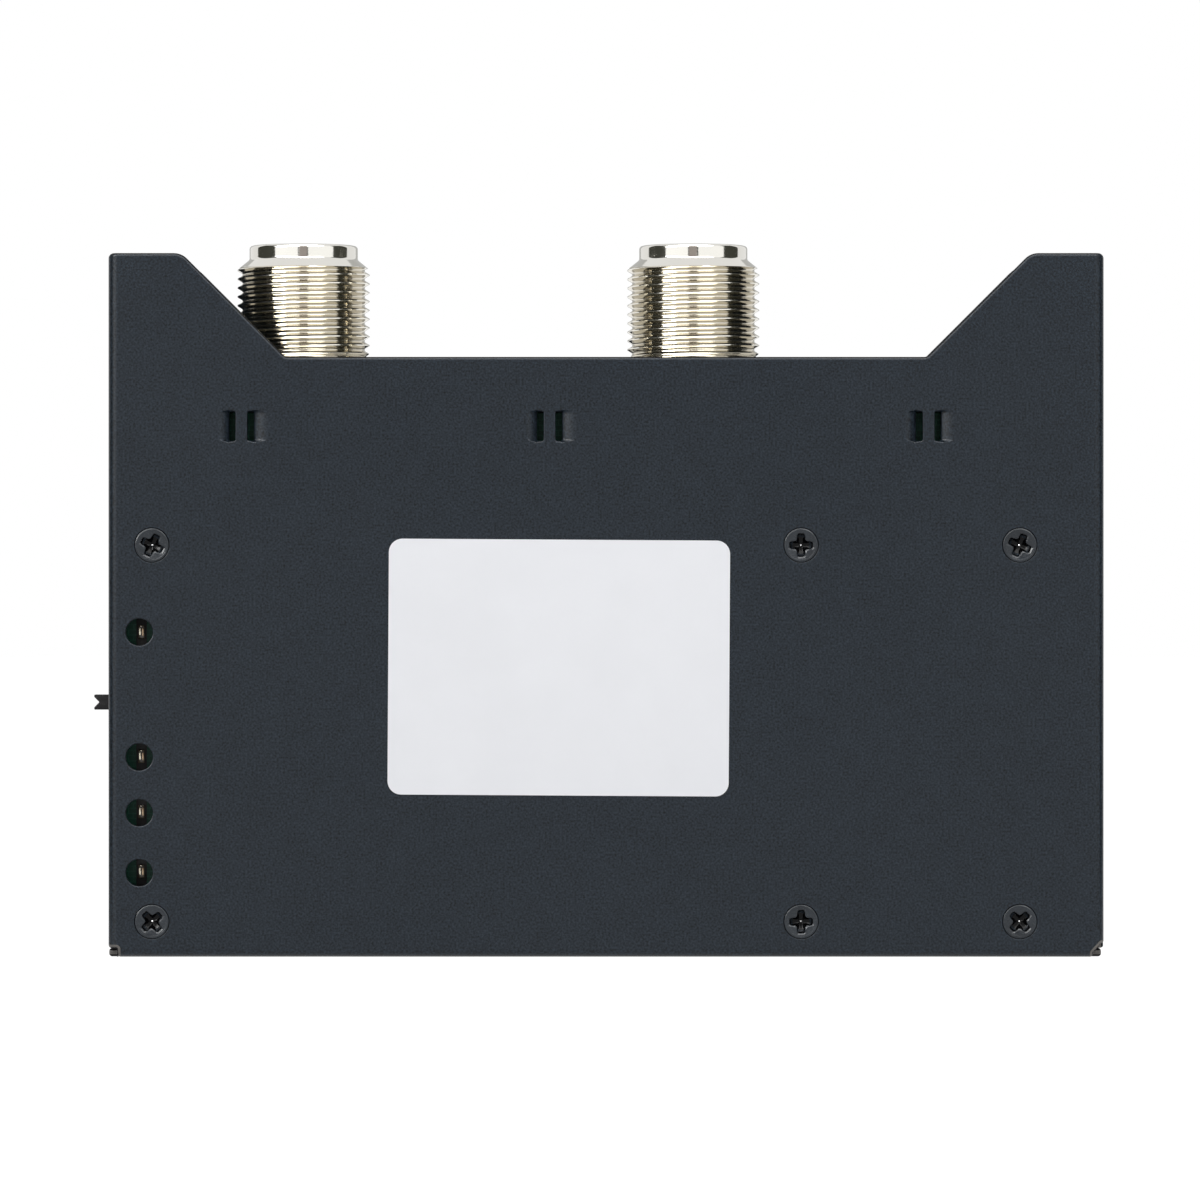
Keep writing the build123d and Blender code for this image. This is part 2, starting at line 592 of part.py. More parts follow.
def usb_section(inset):
    """Outline of the USB-C shell as (Y, Z), inset by a wall."""
    width = USB_WIDTH - 2 * inset
    height = USB_HEIGHT - 2 * inset
    return Pos(USB_Y, USB_Z) * RectangleRounded(height, width, height / 2 - 0.05)


def usb_socket_shell():
    """Drawn steel shell of the USB-C socket, open at its mouth."""
    mouth = WALL_X - USB_MOUTH_SET_BACK
    shell = yz_bar(usb_section(0), mouth - USB_LENGTH, mouth)
    return shell - yz_bar(usb_section(USB_WALL), mouth - USB_LENGTH + USB_WALL, mouth + 1)


def usb_socket_tongue():
    """The socket's contact tongue on its base block."""
    floor_x = WALL_X - USB_MOUTH_SET_BACK - USB_LENGTH + USB_WALL
    base_end = WALL_X - USB_MOUTH_SET_BACK - 1 - USB_TONGUE_LENGTH
    base = yz_bar(usb_section(USB_WALL), floor_x, base_end)
    tongue = Pos(USB_Y, USB_Z) * Rectangle(USB_TONGUE_THICKNESS, USB_TONGUE_WIDTH)
    return base + yz_bar(tongue, base_end, base_end + USB_TONGUE_LENGTH)


def switch_housing():
    """Slide switch housing on the board's edge, with the pocket and slot its slider runs in."""
    inner_face = BOARD_EDGE - SWITCH_WALL
    outside = (BOARD_EDGE - SWITCH_DEPTH, BOARD_EDGE)
    housing = block(outside, span(SWITCH_Y, SWITCH_HEIGHT), span(SWITCH_Z, SWITCH_LENGTH))
    pocket_y = span(SWITCH_Y, KNOB_WIDTH_Y + 4 * SWITCH_GAP)
    pocket_z = span(SWITCH_Z, SLIDER_WIDTH_Z + SWITCH_TRAVEL + 2 * SWITCH_GAP)
    housing -= block((inner_face - SLIDER_DEPTH - 2 * SWITCH_GAP, inner_face), pocket_y, pocket_z)
    slot_y = span(SWITCH_Y, KNOB_WIDTH_Y + 2 * SWITCH_GAP)
    slot_z = span(SWITCH_Z, KNOB_WIDTH_Z + SWITCH_TRAVEL + 2 * SWITCH_GAP)
    return housing - block((inner_face - SWITCH_GAP, BOARD_EDGE + 1), slot_y, slot_z)


def power_knob():
    """Slider and lever of the power switch in its off place, with a notch across the lever's end."""
    tip = WALL_X + KNOB_STAND
    slider_face = BOARD_EDGE - SWITCH_WALL - SWITCH_GAP
    slider_y = span(SWITCH_Y, KNOB_WIDTH_Y + 2 * SWITCH_GAP)
    knob = block((slider_face - SLIDER_DEPTH, slider_face), slider_y, span(KNOB_REST_Z, SLIDER_WIDTH_Z))
    lever_y = span(SWITCH_Y, KNOB_WIDTH_Y)
    knob += block((slider_face - SLIDER_DEPTH / 2, tip), lever_y, span(KNOB_REST_Z, KNOB_WIDTH_Z))
    mouth = (KNOB_WIDTH_Z / 2 - KNOB_LIP) * (KNOB_NOTCH + 1) / KNOB_NOTCH
    notch = Polygon((tip - KNOB_NOTCH, 0), (tip + 1, mouth), (tip + 1, -mouth), align=None)
    return knob - xz_slab(Pos(0, KNOB_REST_Z) * notch, SWITCH_Y - KNOB_WIDTH_Y, SWITCH_Y + KNOB_WIDTH_Y)


def key_switch_bodies():
    """Bodies of the three side key switches, each with the pocket for its key's stem."""
    bodies = Part()
    pocket_end = key_stem_end() - KEY_TRAVEL - KEY_STOP_GAP
    for z in KEYS_Z.values():
        outside = (BOARD_EDGE - KEY_BODY_DEPTH, BOARD_EDGE)
        body = block(outside, span(KEY_Y, KEY_BODY_HEIGHT), span(z, KEY_BODY_WIDTH))
        bodies += body - rod_x(KEY_STEM_R + KEY_RADIAL_GAP, KEY_Y, z, pocket_end, BOARD_EDGE + 1)
    return bodies


def key_shoulder():
    """X of the underside of a key's head at rest."""
    return BOARD_EDGE + KEY_STOP_GAP + KEY_TRAVEL


def key_stem_end():
    """X of the inner end of a key's stem at rest."""
    return BOARD_EDGE - KEY_STEM_DEPTH


def key_cap(z):
    """A round key: a head with a bevelled face in the wall's hole, on a stem in the switch body."""
    face = WALL_X - KEY_SET_BACK
    key = rod_x(KEY_STEM_R, KEY_Y, z, key_stem_end(), key_shoulder())
    head = rod_x(KEY_HEAD_R, KEY_Y, z, key_shoulder(), face)
    head = chamfer(head.faces().sort_by(Axis.X)[-1].edges(), KEY_SET_BACK)
    return key + head


def display_slab(y_low, thickness, inset=0):
    """A slab of the display stack, centred on the window."""
    outline = RectangleRounded(DISPLAY_WIDTH - 2 * inset, DISPLAY_HEIGHT - 2 * inset, DISPLAY_CORNER_R)
    return xz_slab(Pos(0, DISPLAY_Z) * outline, y_low, y_low + thickness)


def display_gasket():
    """Foam ring between the front cover and the touch panel, outside the window."""
    ring = display_slab(FRONT + SHEET, GASKET_THICKNESS)
    opening = RectangleRounded(WINDOW_WIDTH + 1, WINDOW_HEIGHT + 1, WINDOW_CORNER_R)
    return ring - xz_slab(Pos(0, DISPLAY_Z) * opening, FRONT, FRONT + 3)


def display_tray():
    """Plate behind the display with a lug at each corner for its screws."""
    plate = Pos(0, DISPLAY_Z) * RectangleRounded(DISPLAY_WIDTH, DISPLAY_HEIGHT, DISPLAY_CORNER_R)
    tray = xz_slab(plate, TRAY_FRONT, TRAY_REAR)
    for x, z in tray_corners():
        side = 1 if x > 0 else -1
        inner = DISPLAY_WIDTH / 2 - TRAY_LUG
        run = BOSS_X - inner
        lug = Pos(side * (inner + run / 2), z) * Rectangle(run, TRAY_LUG) + Pos(x, z) * Circle(TRAY_LUG / 2)
        tray += xz_slab(lug, TRAY_FRONT, TRAY_REAR)
    for x, z in tray_corners():
        tray -= rod_y(TRAY_SCREW_R + 2 * THREAD_GAP, x, z, TRAY_FRONT - 1, TRAY_REAR + 1)
    return tray


def tray_screws():
    """Pan-head screws that hold the display tray on the front cover's bosses."""
    screws = Part()
    for x, z in tray_corners():
        screws += rod_y(TRAY_SCREW_R, x, z, TRAY_REAR - TRAY_SCREW_LENGTH, TRAY_REAR + TRAY_SCREW_HEAD / 2)
        screws += rod_y(TRAY_SCREW_HEAD_R, x, z, TRAY_REAR, TRAY_REAR + TRAY_SCREW_HEAD)
    return screws


def display_flex():
    """Flat flex from the panel's edge, looped back past the tray to its socket on the board."""
    edge = -DISPLAY_WIDTH / 2
    loop_x = edge - FLEX_REACH
    lcd_y = LCD_FRONT + LCD_THICKNESS / 2
    end_y = BOARD_FRONT - FLEX_SOCKET_HEIGHT / 2
    corners = [(edge, lcd_y), (loop_x, lcd_y), (loop_x, end_y), (FLEX_MOUTH, end_y)]
    centre = FilletPolyline(*corners, radius=FLEX_BEND_R)
    start = Plane(origin=(edge, lcd_y, 0), x_dir=(0, 0, 1), z_dir=(-1, 0, 0))
    strip = sweep(start * Rectangle(FLEX_WIDTH, FLEX_THICKNESS), path=centre)
    return Pos(0, 0, DISPLAY_Z) * strip


def flex_socket():
    """Socket on the board that the display's flex plugs into."""
    height = (BOARD_FRONT - FLEX_SOCKET_HEIGHT, BOARD_FRONT)
    return block((FLEX_MOUTH, FLEX_MOUTH + FLEX_SOCKET_LENGTH), height, span(DISPLAY_Z, FLEX_WIDTH + 2))


def battery():
    """Pouch cell behind the display tray, with rounded sides."""
    cell_y = BATTERY_FRONT + BATTERY_THICKNESS / 2
    section = Pos(BATTERY_X, cell_y) * RectangleRounded(BATTERY_WIDTH, BATTERY_THICKNESS, BATTERY_EDGE_R)
    return xy_post(section, *span(BATTERY_Z, BATTERY_HEIGHT))


def battery_pad():
    """Double-sided pad that holds the cell on the tray."""
    outline = RectangleRounded(BATTERY_WIDTH - 2 * PAD_MARGIN, BATTERY_HEIGHT - 2 * PAD_MARGIN, 1)
    return xz_slab(Pos(BATTERY_X, BATTERY_Z) * outline, TRAY_REAR, BATTERY_FRONT)


def battery_socket():
    """Two-pin socket on the board for the battery's lead."""
    width, depth, height = BATTERY_SOCKET
    z = BATTERY_Z + BATTERY_HEIGHT / 2 + LEAD_RISE
    return block(span(BATTERY_SOCKET_X, width), (BOARD_FRONT - depth, BOARD_FRONT), span(z, height))


def battery_lead():
    """Flat twin lead from the cell's top edge, round one bend, into the socket."""
    x = BATTERY_SOCKET_X
    cell_y = BATTERY_FRONT + BATTERY_THICKNESS / 2
    cell_top = BATTERY_Z + BATTERY_HEIGHT / 2
    lead_z = cell_top + LEAD_RISE
    corners = [(x, cell_y, cell_top), (x, cell_y, lead_z), (x, BOARD_FRONT - BATTERY_SOCKET[1], lead_z)]
    path = FilletPolyline(*corners, radius=LEAD_BEND_R)
    return sweep(Plane(origin=corners[0]) * Rectangle(LEAD_WIDTH, LEAD_THICKNESS), path=path)


def rear_label():
    """Self-adhesive label on the back panel, set a little askew."""
    outline = Rot(Z=LABEL_TILT_DEG) * RectangleRounded(LABEL_WIDTH, LABEL_HEIGHT, LABEL_CORNER_R)
    return xz_slab(Pos(LABEL_X, LABEL_Z) * outline, REAR, REAR + LABEL_THICKNESS)


def at_each(places, piece):
    """Copies of one piece at several places, as separate solids of one part."""
    group = Part()
    for place in places:
        group += place * piece
    return group


def build():
    """Every node of the analyzer by name."""
    port_places = [Pos(x, PORT_Y) for x in PORTS_X.values()]
    nodes = {
        "rear_shell": rear_shell(),
        "front_cover": front_cover(),
        "connector_bracket": connector_bracket(),
        "case_screws": at_each(case_screw_places(), countersunk_screw(SCREW_LENGTH)),
        "side_screws": at_each(side_screw_places(), countersunk_screw(SIDE_SCREW_LENGTH)),
        "rear_label": rear_label(),
        "jack_nuts": at_each(port_places, jack_nut()),
        "jack_washers": at_each(port_places, jack_washer()),
        "main_board": main_board(),
        "board_spacers": board_spacers(),
        "board_chips": board_chips(),
        "status_leds": status_leds(),
        "usb_socket_shell": usb_socket_shell(),
        "usb_socket_tongue": usb_socket_tongue(),
        "switch_housing": switch_housing(),
        "power_knob": power_knob(),
        "key_switch_bodies": key_switch_bodies(),
        "display_gasket": display_gasket(),
        "touch_panel": display_slab(TOUCH_FRONT, TOUCH_THICKNESS),
        "lcd_panel": display_slab(LCD_FRONT, LCD_THICKNESS),
        "display_tray": display_tray(),
        "tray_screws": tray_screws(),
        "display_flex": display_flex(),
        "flex_socket": flex_socket(),
        "battery": battery(),
        "battery_pad": battery_pad(),
        "battery_socket": battery_socket(),
        "battery_lead": battery_lead(),
    }
    for name, x in PORTS_X.items():
        place = Pos(x, PORT_Y)
        nodes[name + "_body"] = place * jack_body()
        nodes[name + "_insulator"] = place * jack_insulator()
        nodes[name + "_contact"] = place * jack_contact()
        nodes[name + "_jumper"] = Pos(x, 0) * coax_jumper()
        nodes[name + "_shield"] = shield_can(SHIELDS_X[name])
    for name, z in KEYS_Z.items():
        nodes[name] = key_cap(z)
    return nodes


os.makedirs("parts", exist_ok=True)
for node, solid in build().items():
    export_step(solid, f"parts/{node}.step")
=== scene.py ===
# %% [markdown]
# # A two-port antenna analyzer in a folded steel case
# The rigid frame comes from CAD: every node already has its true size and place, in metres, with
# +Z up to the ports, the back panel facing +Y and the screen facing -Y. What is missing is what
# the eye looks for: rounded sheet edges, pressed bridges, cut threads, cross recesses and finishes.
# Each step below says what a piece is on the real object and how its surface is worked out.

# %% Load the fixed frame
import json
import bmesh
import bpy
import numpy as np
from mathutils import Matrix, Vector, geometry


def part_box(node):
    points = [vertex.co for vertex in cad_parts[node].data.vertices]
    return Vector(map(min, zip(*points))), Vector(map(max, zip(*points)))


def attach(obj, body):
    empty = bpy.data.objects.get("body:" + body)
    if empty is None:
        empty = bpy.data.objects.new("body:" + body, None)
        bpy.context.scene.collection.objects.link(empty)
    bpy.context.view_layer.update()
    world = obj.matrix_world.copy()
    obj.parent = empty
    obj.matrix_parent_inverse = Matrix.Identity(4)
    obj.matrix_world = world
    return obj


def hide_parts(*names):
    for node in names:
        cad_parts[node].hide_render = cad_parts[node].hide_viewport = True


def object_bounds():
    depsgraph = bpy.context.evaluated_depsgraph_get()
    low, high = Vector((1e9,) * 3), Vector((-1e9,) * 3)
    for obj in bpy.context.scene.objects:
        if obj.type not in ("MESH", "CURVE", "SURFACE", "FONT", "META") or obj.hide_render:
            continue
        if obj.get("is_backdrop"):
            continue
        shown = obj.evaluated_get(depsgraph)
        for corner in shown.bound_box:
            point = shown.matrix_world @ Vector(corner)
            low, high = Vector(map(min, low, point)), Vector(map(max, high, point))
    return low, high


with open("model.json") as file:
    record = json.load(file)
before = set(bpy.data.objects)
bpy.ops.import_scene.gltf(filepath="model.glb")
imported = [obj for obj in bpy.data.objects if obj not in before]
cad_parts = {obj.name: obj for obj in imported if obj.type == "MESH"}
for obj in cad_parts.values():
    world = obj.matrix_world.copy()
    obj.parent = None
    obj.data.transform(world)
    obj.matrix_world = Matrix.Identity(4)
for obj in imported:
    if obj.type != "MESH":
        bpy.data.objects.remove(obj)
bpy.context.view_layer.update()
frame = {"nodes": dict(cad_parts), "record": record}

# %% [markdown]
# ## Sizes
# Blender works in metres and a drawing of this analyzer in millimetres, so every size below is
# in millimetres and one factor turns the finished points into metres. Where a size belongs to a
# CAD node it is read from that node's box, so the looks follow the solids.

# %% Sizes read from the frame
MM = 0.001


def node_box(name):
    """Lowest and highest corner of a CAD node in millimetres."""
    return [np.array(corner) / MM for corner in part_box(name)]


shell_low, shell_high = node_box("rear_shell")
cover_low, cover_high = node_box("front_cover")
HALF_WIDTH, REAR, EAR_TOP = shell_high
FRONT = shell_low[1]
SHEET = 1.0
FOLD_R = 1.15
EDGE_R = 0.14
PANEL_TOP = 71.1
EAR_FLAT = 8.7
print("case", *(round(size, 2) for size in (2 * HALF_WIDTH, REAR - FRONT, EAR_TOP)), "mm")

# %% [markdown]
# ## From numbers to a mesh
# A surface is a rectangular grid of points, worked out as one array: rows run along one
# parameter, columns along the other, and each face joins four neighbours. Building it from
# arrays keeps the shape a formula that can be changed, where a hand-pushed mesh could not.

# %% Grid faces and new pieces
WELD = 2e-7


def grid_faces(rows, cols, wrap_rows=False, wrap_cols=True):
    """Quads between neighbouring rows and columns: point (r, c) has the number r * cols + c."""
    r, c = np.meshgrid(np.arange(rows - (not wrap_rows)), np.arange(cols - (not wrap_cols)), indexing="ij")
    r_next, c_next = (r + 1) % rows, (c + 1) % cols
    corners = [r * cols + c, r * cols + c_next, r_next * cols + c_next, r_next * cols + c]
    return np.stack(corners, -1).reshape(-1, 4)


def joined(parts):
    """Several (points, faces) pairs, or (points, faces, finish number), as one list of each."""
    points, faces, numbers, first = [], [], [], 0
    for part_points, part_faces, *number in parts:
        points.append(np.reshape(part_points, (-1, 3)))
        faces += (np.asarray(part_faces) + first).tolist()
        numbers += [number[0] if number else 0] * len(part_faces)
        first += len(points[-1])
    return np.vstack(points), faces, numbers


def new_piece(name, parts, body, slot, nodes=(), finishes=None, smooth_deg=35, weighted=False):
    """A mesh object from parts in millimetres: seams merged, faces outwards, riding on its body."""
    points, faces, numbers = joined(parts)
    mesh = bpy.data.meshes.new(name)
    mesh.from_pydata((points * MM).tolist(), [], faces)
    mesh.polygons.foreach_set("material_index", numbers)
    work = bmesh.new()
    work.from_mesh(mesh)
    bmesh.ops.remove_doubles(work, verts=work.verts, dist=WELD)
    bmesh.ops.dissolve_degenerate(work, dist=WELD / 2, edges=work.edges)
    bmesh.ops.recalc_face_normals(work, faces=work.faces)
    work.to_mesh(mesh)
    work.free()
    mesh.shade_smooth()
    if not weighted:
        mesh.set_sharp_from_angle(angle=np.radians(smooth_deg))
    piece = bpy.data.objects.new(name, mesh)
    bpy.context.scene.collection.objects.link(piece)
    if weighted:
        piece.modifiers.new("Face weighted normals", "WEIGHTED_NORMAL").weight = 100
    for finish in finishes or [FINISHES[slot]]:
        mesh.materials.append(finish)
    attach(piece, body)
    if nodes:
        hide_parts(*nodes)
    print(name, len(mesh.polygons), "faces")
    return piece


print("points within", round(WELD / MM, 5), "mm are merged")

# %% [markdown]
# ## Finishes
# Every finish is a Principled shader whose colour, roughness and height vary a little with the
# point's own place on the object (Object coordinates), never with the camera. Two noises do most
# of the work: a broad one for handling and uneven coating, and a fine one for grain. One helper
# adds a shader node and fills its sockets, with a constant or with another node's output.

# %% A finish with grain
NOISE_LOW, NOISE_HIGH = 0.3, 0.7
TINT_STOPS = (0.32, 0.68)


def add(tree, kind, sockets=None, **options):
    """A new shader node's outputs; a socket gets a constant, or a link where the value is an output."""
    node = tree.nodes.new("ShaderNode" + kind)
    for option, value in options.items():
        setattr(node, option, value)
    for socket, value in (sockets or {}).items():
        if isinstance(value, bpy.types.NodeSocket):
            tree.links.new(value, node.inputs[socket])
        else:
            node.inputs[socket].default_value = value
    return node.outputs


def feed(finish, socket, value):
    """Links a value into the finish's own shader."""
    tree = finish.node_tree
    tree.links.new(value, tree.nodes["Principled BSDF"].inputs[socket])


def new_finish(name, colour, roughness, metallic=0.0, specular=0.5, coat=0.0):
    """A Principled material whose constant values sit on the shader's own sockets."""
    finish = bpy.data.materials.new(name)
    finish.use_nodes = True
    finish.diffuse_color = (*colour, 1)
    constants = {"Base Color": (*colour, 1), "Roughness": roughness, "Metallic": metallic,
                 "Specular IOR Level": specular, "Coat Weight": coat, "Coat Roughness": 0.08}
    for socket, value in constants.items():
        finish.node_tree.nodes["Principled BSDF"].inputs[socket].default_value = value
    return finish


def object_noise(finish, grain_mm, stretch=(1, 1, 1), detail=3.0):
    """A noise of a given grain in millimetres, stretched along the axes for brushed metal."""
    tree = finish.node_tree
    scale = [1 / (grain_mm * MM * s) for s in stretch]
    place = add(tree, "Mapping", {"Vector": add(tree, "TexCoord")["Object"], "Scale": scale})["Vector"]
    return add(tree, "TexNoise", {"Vector": place, "Scale": 1.0, "Detail": detail})["Fac"]


def vary_gloss(finish, value, low, high):
    """Roughness from low to high, while a noise runs through its usual middle range."""
    spread = add(finish.node_tree, "MapRange", {"Value": value, "From Min": NOISE_LOW, "From Max": NOISE_HIGH,
                                                "To Min": low, "To Max": high})
    feed(finish, "Roughness", spread["Result"])


def tint(finish, value, low, high):
    """Base colour that runs from low to high with a value."""
    ramp = finish.node_tree.nodes.new("ShaderNodeValToRGB")
    for stop, position, colour in zip(ramp.color_ramp.elements, TINT_STOPS, (low, high)):
        stop.position = position
        stop.color = (*colour, 1)
    finish.node_tree.links.new(value, ramp.inputs["Fac"])
    feed(finish, "Base Color", ramp.outputs["Color"])


def bump(finish, value, height_mm, under=None):
    """Surface relief of a given height from a 0 to 1 value, on top of an earlier relief."""
    sockets = {"Height": value, "Distance": height_mm * MM}
    if under is not None:
        sockets["Normal"] = under
    relief = add(finish.node_tree, "Bump", sockets)["Normal"]
    feed(finish, "Normal", relief)
    return relief


def grained(name, colour, roughness, grain_mm, tone=0.1, relief_mm=0.004, rough_spread=0.05,
            metallic=0.0, specular=0.5, coat=0.0, stretch=(1, 1, 1)):
    """A finish with broad tone changes, uneven gloss and a fine grain."""
    finish = new_finish(name, colour, roughness, metallic, specular, coat)
    colour = np.array(colour)
    fine = object_noise(finish, grain_mm, stretch)
    tint(finish, object_noise(finish, grain_mm * 25), colour * (1 - tone), np.minimum(colour * (1 + tone), 1))
    vary_gloss(finish, fine, roughness - rough_spread, roughness + rough_spread)
    bump(finish, fine, relief_mm)
    return finish


# %% [markdown]
# ### Powder coat
# The case is steel with a satin, very finely textured powder coat: dark blue-grey, with a grain
# of about a quarter of a millimetre that only shows as a slight unevenness. A low specular level
# and a fine bump give that; the grain also shifts the colour a little, as pigment flakes do. Where
# every cut edge's rounding turns away from the face it is painted near black, a thin dull line of
# painted shade, and the notches at the two lower corners are cut deep enough to show bare metal.

# %% Powder coat
def powder_coat(name, colour):
    """Satin powder coat: two grains in the colour and the relief, and a slow drift in gloss."""
    finish = new_finish(name, colour, 0.32, specular=0.235)
    colour = np.array(colour)
    grain = object_noise(finish, 0.25, detail=5.0)
    fleck = object_noise(finish, 1.8, detail=2.0)
    mixed = add(finish.node_tree, "Mix", {"A": grain, "B": fleck, "Factor": 0.1}, data_type="FLOAT")["Result"]
    tint(finish, mixed, colour * 0.2, colour * 1.8)
    vary_gloss(finish, object_noise(finish, 14.0), 0.315, 0.335)
    bump(finish, grain, 0.019, under=bump(finish, fleck, 0.006))
    return finish


case_paint = powder_coat("case_paint", (0.0122, 0.0181, 0.0256))
# Near-black for the rounding of the cut edges: painted shade.
edge_painted_shade = grained("cut_edge_painted_shade", (0.004, 0.004, 0.005), 0.55, 0.3, 0.2, 0.004, specular=0.12)
notch_edge = grained("notch_edge", (0.13, 0.122, 0.112), 0.4, 0.2, 0.2, 0.006, specular=0.4)
print("finishes", case_paint.name, edge_painted_shade.name, notch_edge.name)

# %% [markdown]
# ### The other finishes
# Metals take their colour from the metallic shader, and differ in grain: bright nickel is nearly
# smooth, drawn steel has lines along its draw, and rolled aluminium has them along its roll.
# Plastics are dielectric with a soft moulded grain.

# %% Metals
def metal(name, colour, roughness, grain_mm, tone, relief_mm, rough_spread=0.05, stretch=(1, 1, 1)):
    """A metallic finish; a stretch along one axis draws its grain out into lines."""
    return grained(name, colour, roughness, grain_mm, tone, relief_mm, rough_spread, 1.0, stretch=stretch)


FINISHES = {
    "case_paint": case_paint,
    "nickel": metal("bright_nickel", (0.72, 0.705, 0.66), 0.09, 0.5, 0.03, 0.0005, 0.02),
    "contact_gold": metal("gold_plate", (0.83, 0.62, 0.27), 0.2, 0.4, 0.05, 0.001, 0.04),
    "drawn_steel": metal("drawn_steel", (0.58, 0.58, 0.57), 0.28, 0.15, 0.05, 0.001, 0.06, (14, 1, 1)),
    "screw_steel": metal("zinc_plate", (0.55, 0.55, 0.54), 0.3, 0.3, 0.06, 0.002, 0.06),
    "shield_tin": metal("shield_tin", (0.60, 0.60, 0.58), 0.26, 0.2, 0.05, 0.001, stretch=(1, 1, 12)),
    "tray_aluminium": metal("mill_aluminium", (0.62, 0.63, 0.64), 0.35, 0.2, 0.05, 0.002, 0.06, (18, 1, 1)),
    "pouch_silver": metal("pouch_silver", (0.60, 0.61, 0.62), 0.34, 1.4, 0.05, 0.02, 0.08),
    "coax_tinned": metal("tinned_copper", (0.62, 0.62, 0.60), 0.3, 0.3, 0.06, 0.002, 0.06),
    "spacer_brass": metal("tinned_brass", (0.70, 0.66, 0.58), 0.28, 0.3, 0.06, 0.001),
}
# Nickel for the thread's grooves, painted darker and yellower: painted shade.
groove_painted_shade = metal("groove_nickel_painted_shade", (0.60, 0.56, 0.47), 0.10, 0.4, 0.05, 0.0006, 0.02)
# Nickel for the thread's crests, painted brighter: painted highlight.
crest_painted_highlight = metal("crest_nickel_painted_highlight", (0.86, 0.84, 0.78), 0.14, 0.4, 0.05, 0.0006, 0.02)
# A bright metal in each screw's pit: a painted highlight.
pit_glint = metal("recess_pit_painted_highlight", (0.62, 0.62, 0.63), 0.2, 0.1, 0.3, 0.002)
led_cup = metal("led_cup", (0.74, 0.68, 0.55), 0.22, 0.2, 0.10, 0.003)
# The lamp's gold cup painted darker: painted shade.
led_cup_painted_shade = metal("led_cup_painted_shade", (0.45, 0.33, 0.22), 0.30, 0.2, 0.12, 0.003)
print("slots finished:", ", ".join(FINISHES))

# %% Oxide, plastics and film
FINISHES |= {
    "screw_black": grained("black_oxide", (0.023, 0.028, 0.034), 0.24, 0.25, 0.35, 0.014, 0.07,
                           specular=0.28),
    "insulator_white": grained("white_fluoropolymer", (0.85, 0.85, 0.82), 0.42, 0.3, 0.02, 0.002),
    "knob_black": grained("black_plastic", (0.012, 0.012, 0.013), 0.42, 0.22, 0.12, 0.006, specular=0.19),
    "contact_block": grained("contact_block", (0.018, 0.018, 0.019), 0.38, 0.2, 0.1, 0.003),
    "chip_black": grained("chip_package", (0.015, 0.015, 0.016), 0.55, 0.12, 0.15, 0.004),
    "foam_black": grained("closed_cell_foam", (0.015, 0.015, 0.015), 0.9, 0.2, 0.2, 0.03, specular=0.2),
    "lcd_black": grained("lcd_module", (0.012, 0.012, 0.014), 0.2, 0.4, 0.1, 0.001),
    "flex_amber": grained("polyimide_film", (0.42, 0.19, 0.03), 0.3, 0.5, 0.08, 0.002),
    "socket_white": grained("moulded_nylon", (0.78, 0.76, 0.70), 0.45, 0.4, 0.03, 0.004),
    "wire_red": grained("silicone_wire", (0.40, 0.02, 0.02), 0.5, 0.3, 0.06, 0.004),
    "led_lens": grained("led_resin", (0.10, 0.075, 0.045), 0.18, 0.2, 0.15, 0.002, coat=0.5),
}
# Near black for the screw recess below its shelf: painted shade.
recess_painted_shade = grained("recess_painted_shade", (0.0025, 0.0025, 0.003), 0.15, 0.15, 0.30, 0.004, specular=0.12)
mark_black = grained("board_dark_strip", (0.006, 0.006, 0.006), 0.5, 0.2, 0.1, 0.002)
print(len(FINISHES), "slots finished")


# %% [markdown]
# ### Circuit board
# Solder mask is a dark green, glossy lacquer with copper tracks that show through as slightly
# lighter, raised lines. A brick pattern in the board's own plane gives right-angled runs.

# %% Solder mask
def solder_mask(name, colour, track_colour):
    """Green lacquer with faint raised tracks on a grid in X and Z."""
    finish = new_finish(name, colour, 0.30, specular=0.15)
    tree = finish.node_tree
    place = add(tree, "Mapping", {"Vector": add(tree, "TexCoord")["Object"], "Rotation": (np.pi / 2, 0, 0),
                                  "Scale": (400, 400, 400)})["Vector"]
    tracks = add(tree, "TexBrick", {"Vector": place, "Color1": (*colour, 1), "Mortar": (*track_colour, 1),
                                    "Color2": (*[c * 1.25 for c in colour], 1), "Scale": 1.0,
                                    "Mortar Size": 0.035})
    feed(finish, "Base Color", tracks["Color"])
    bump(finish, tracks["Fac"], 0.02)
    return finish


FINISHES["board_green"] = solder_mask("solder_mask", (0.015, 0.068, 0.046), (0.024, 0.105, 0.070))
print("board finish", FINISHES["board_green"].name)

# %% [markdown]
# ### Label
# The label is coated paper stock, left bare. A very fine fibre relief and a slow drift in tone
# keep it from looking like a flat patch of white.

# %% Label stock
FINISHES["label_white"] = grained("label_stock", (0.80, 0.808, 0.84), 0.45, 0.35, 0.012, 0.003, 0.04,
                                  specular=0.4)
print("label finish", FINISHES["label_white"].name)

# %% [markdown]
# ### Screen
# Behind the touch glass the outer band is printed black and the middle is the switched-off
# display: both nearly black, but the display is a little greyer and bluer. Two comparisons in
# Object coordinates, across and upward, separate them, so the border stays sharp at any zoom.

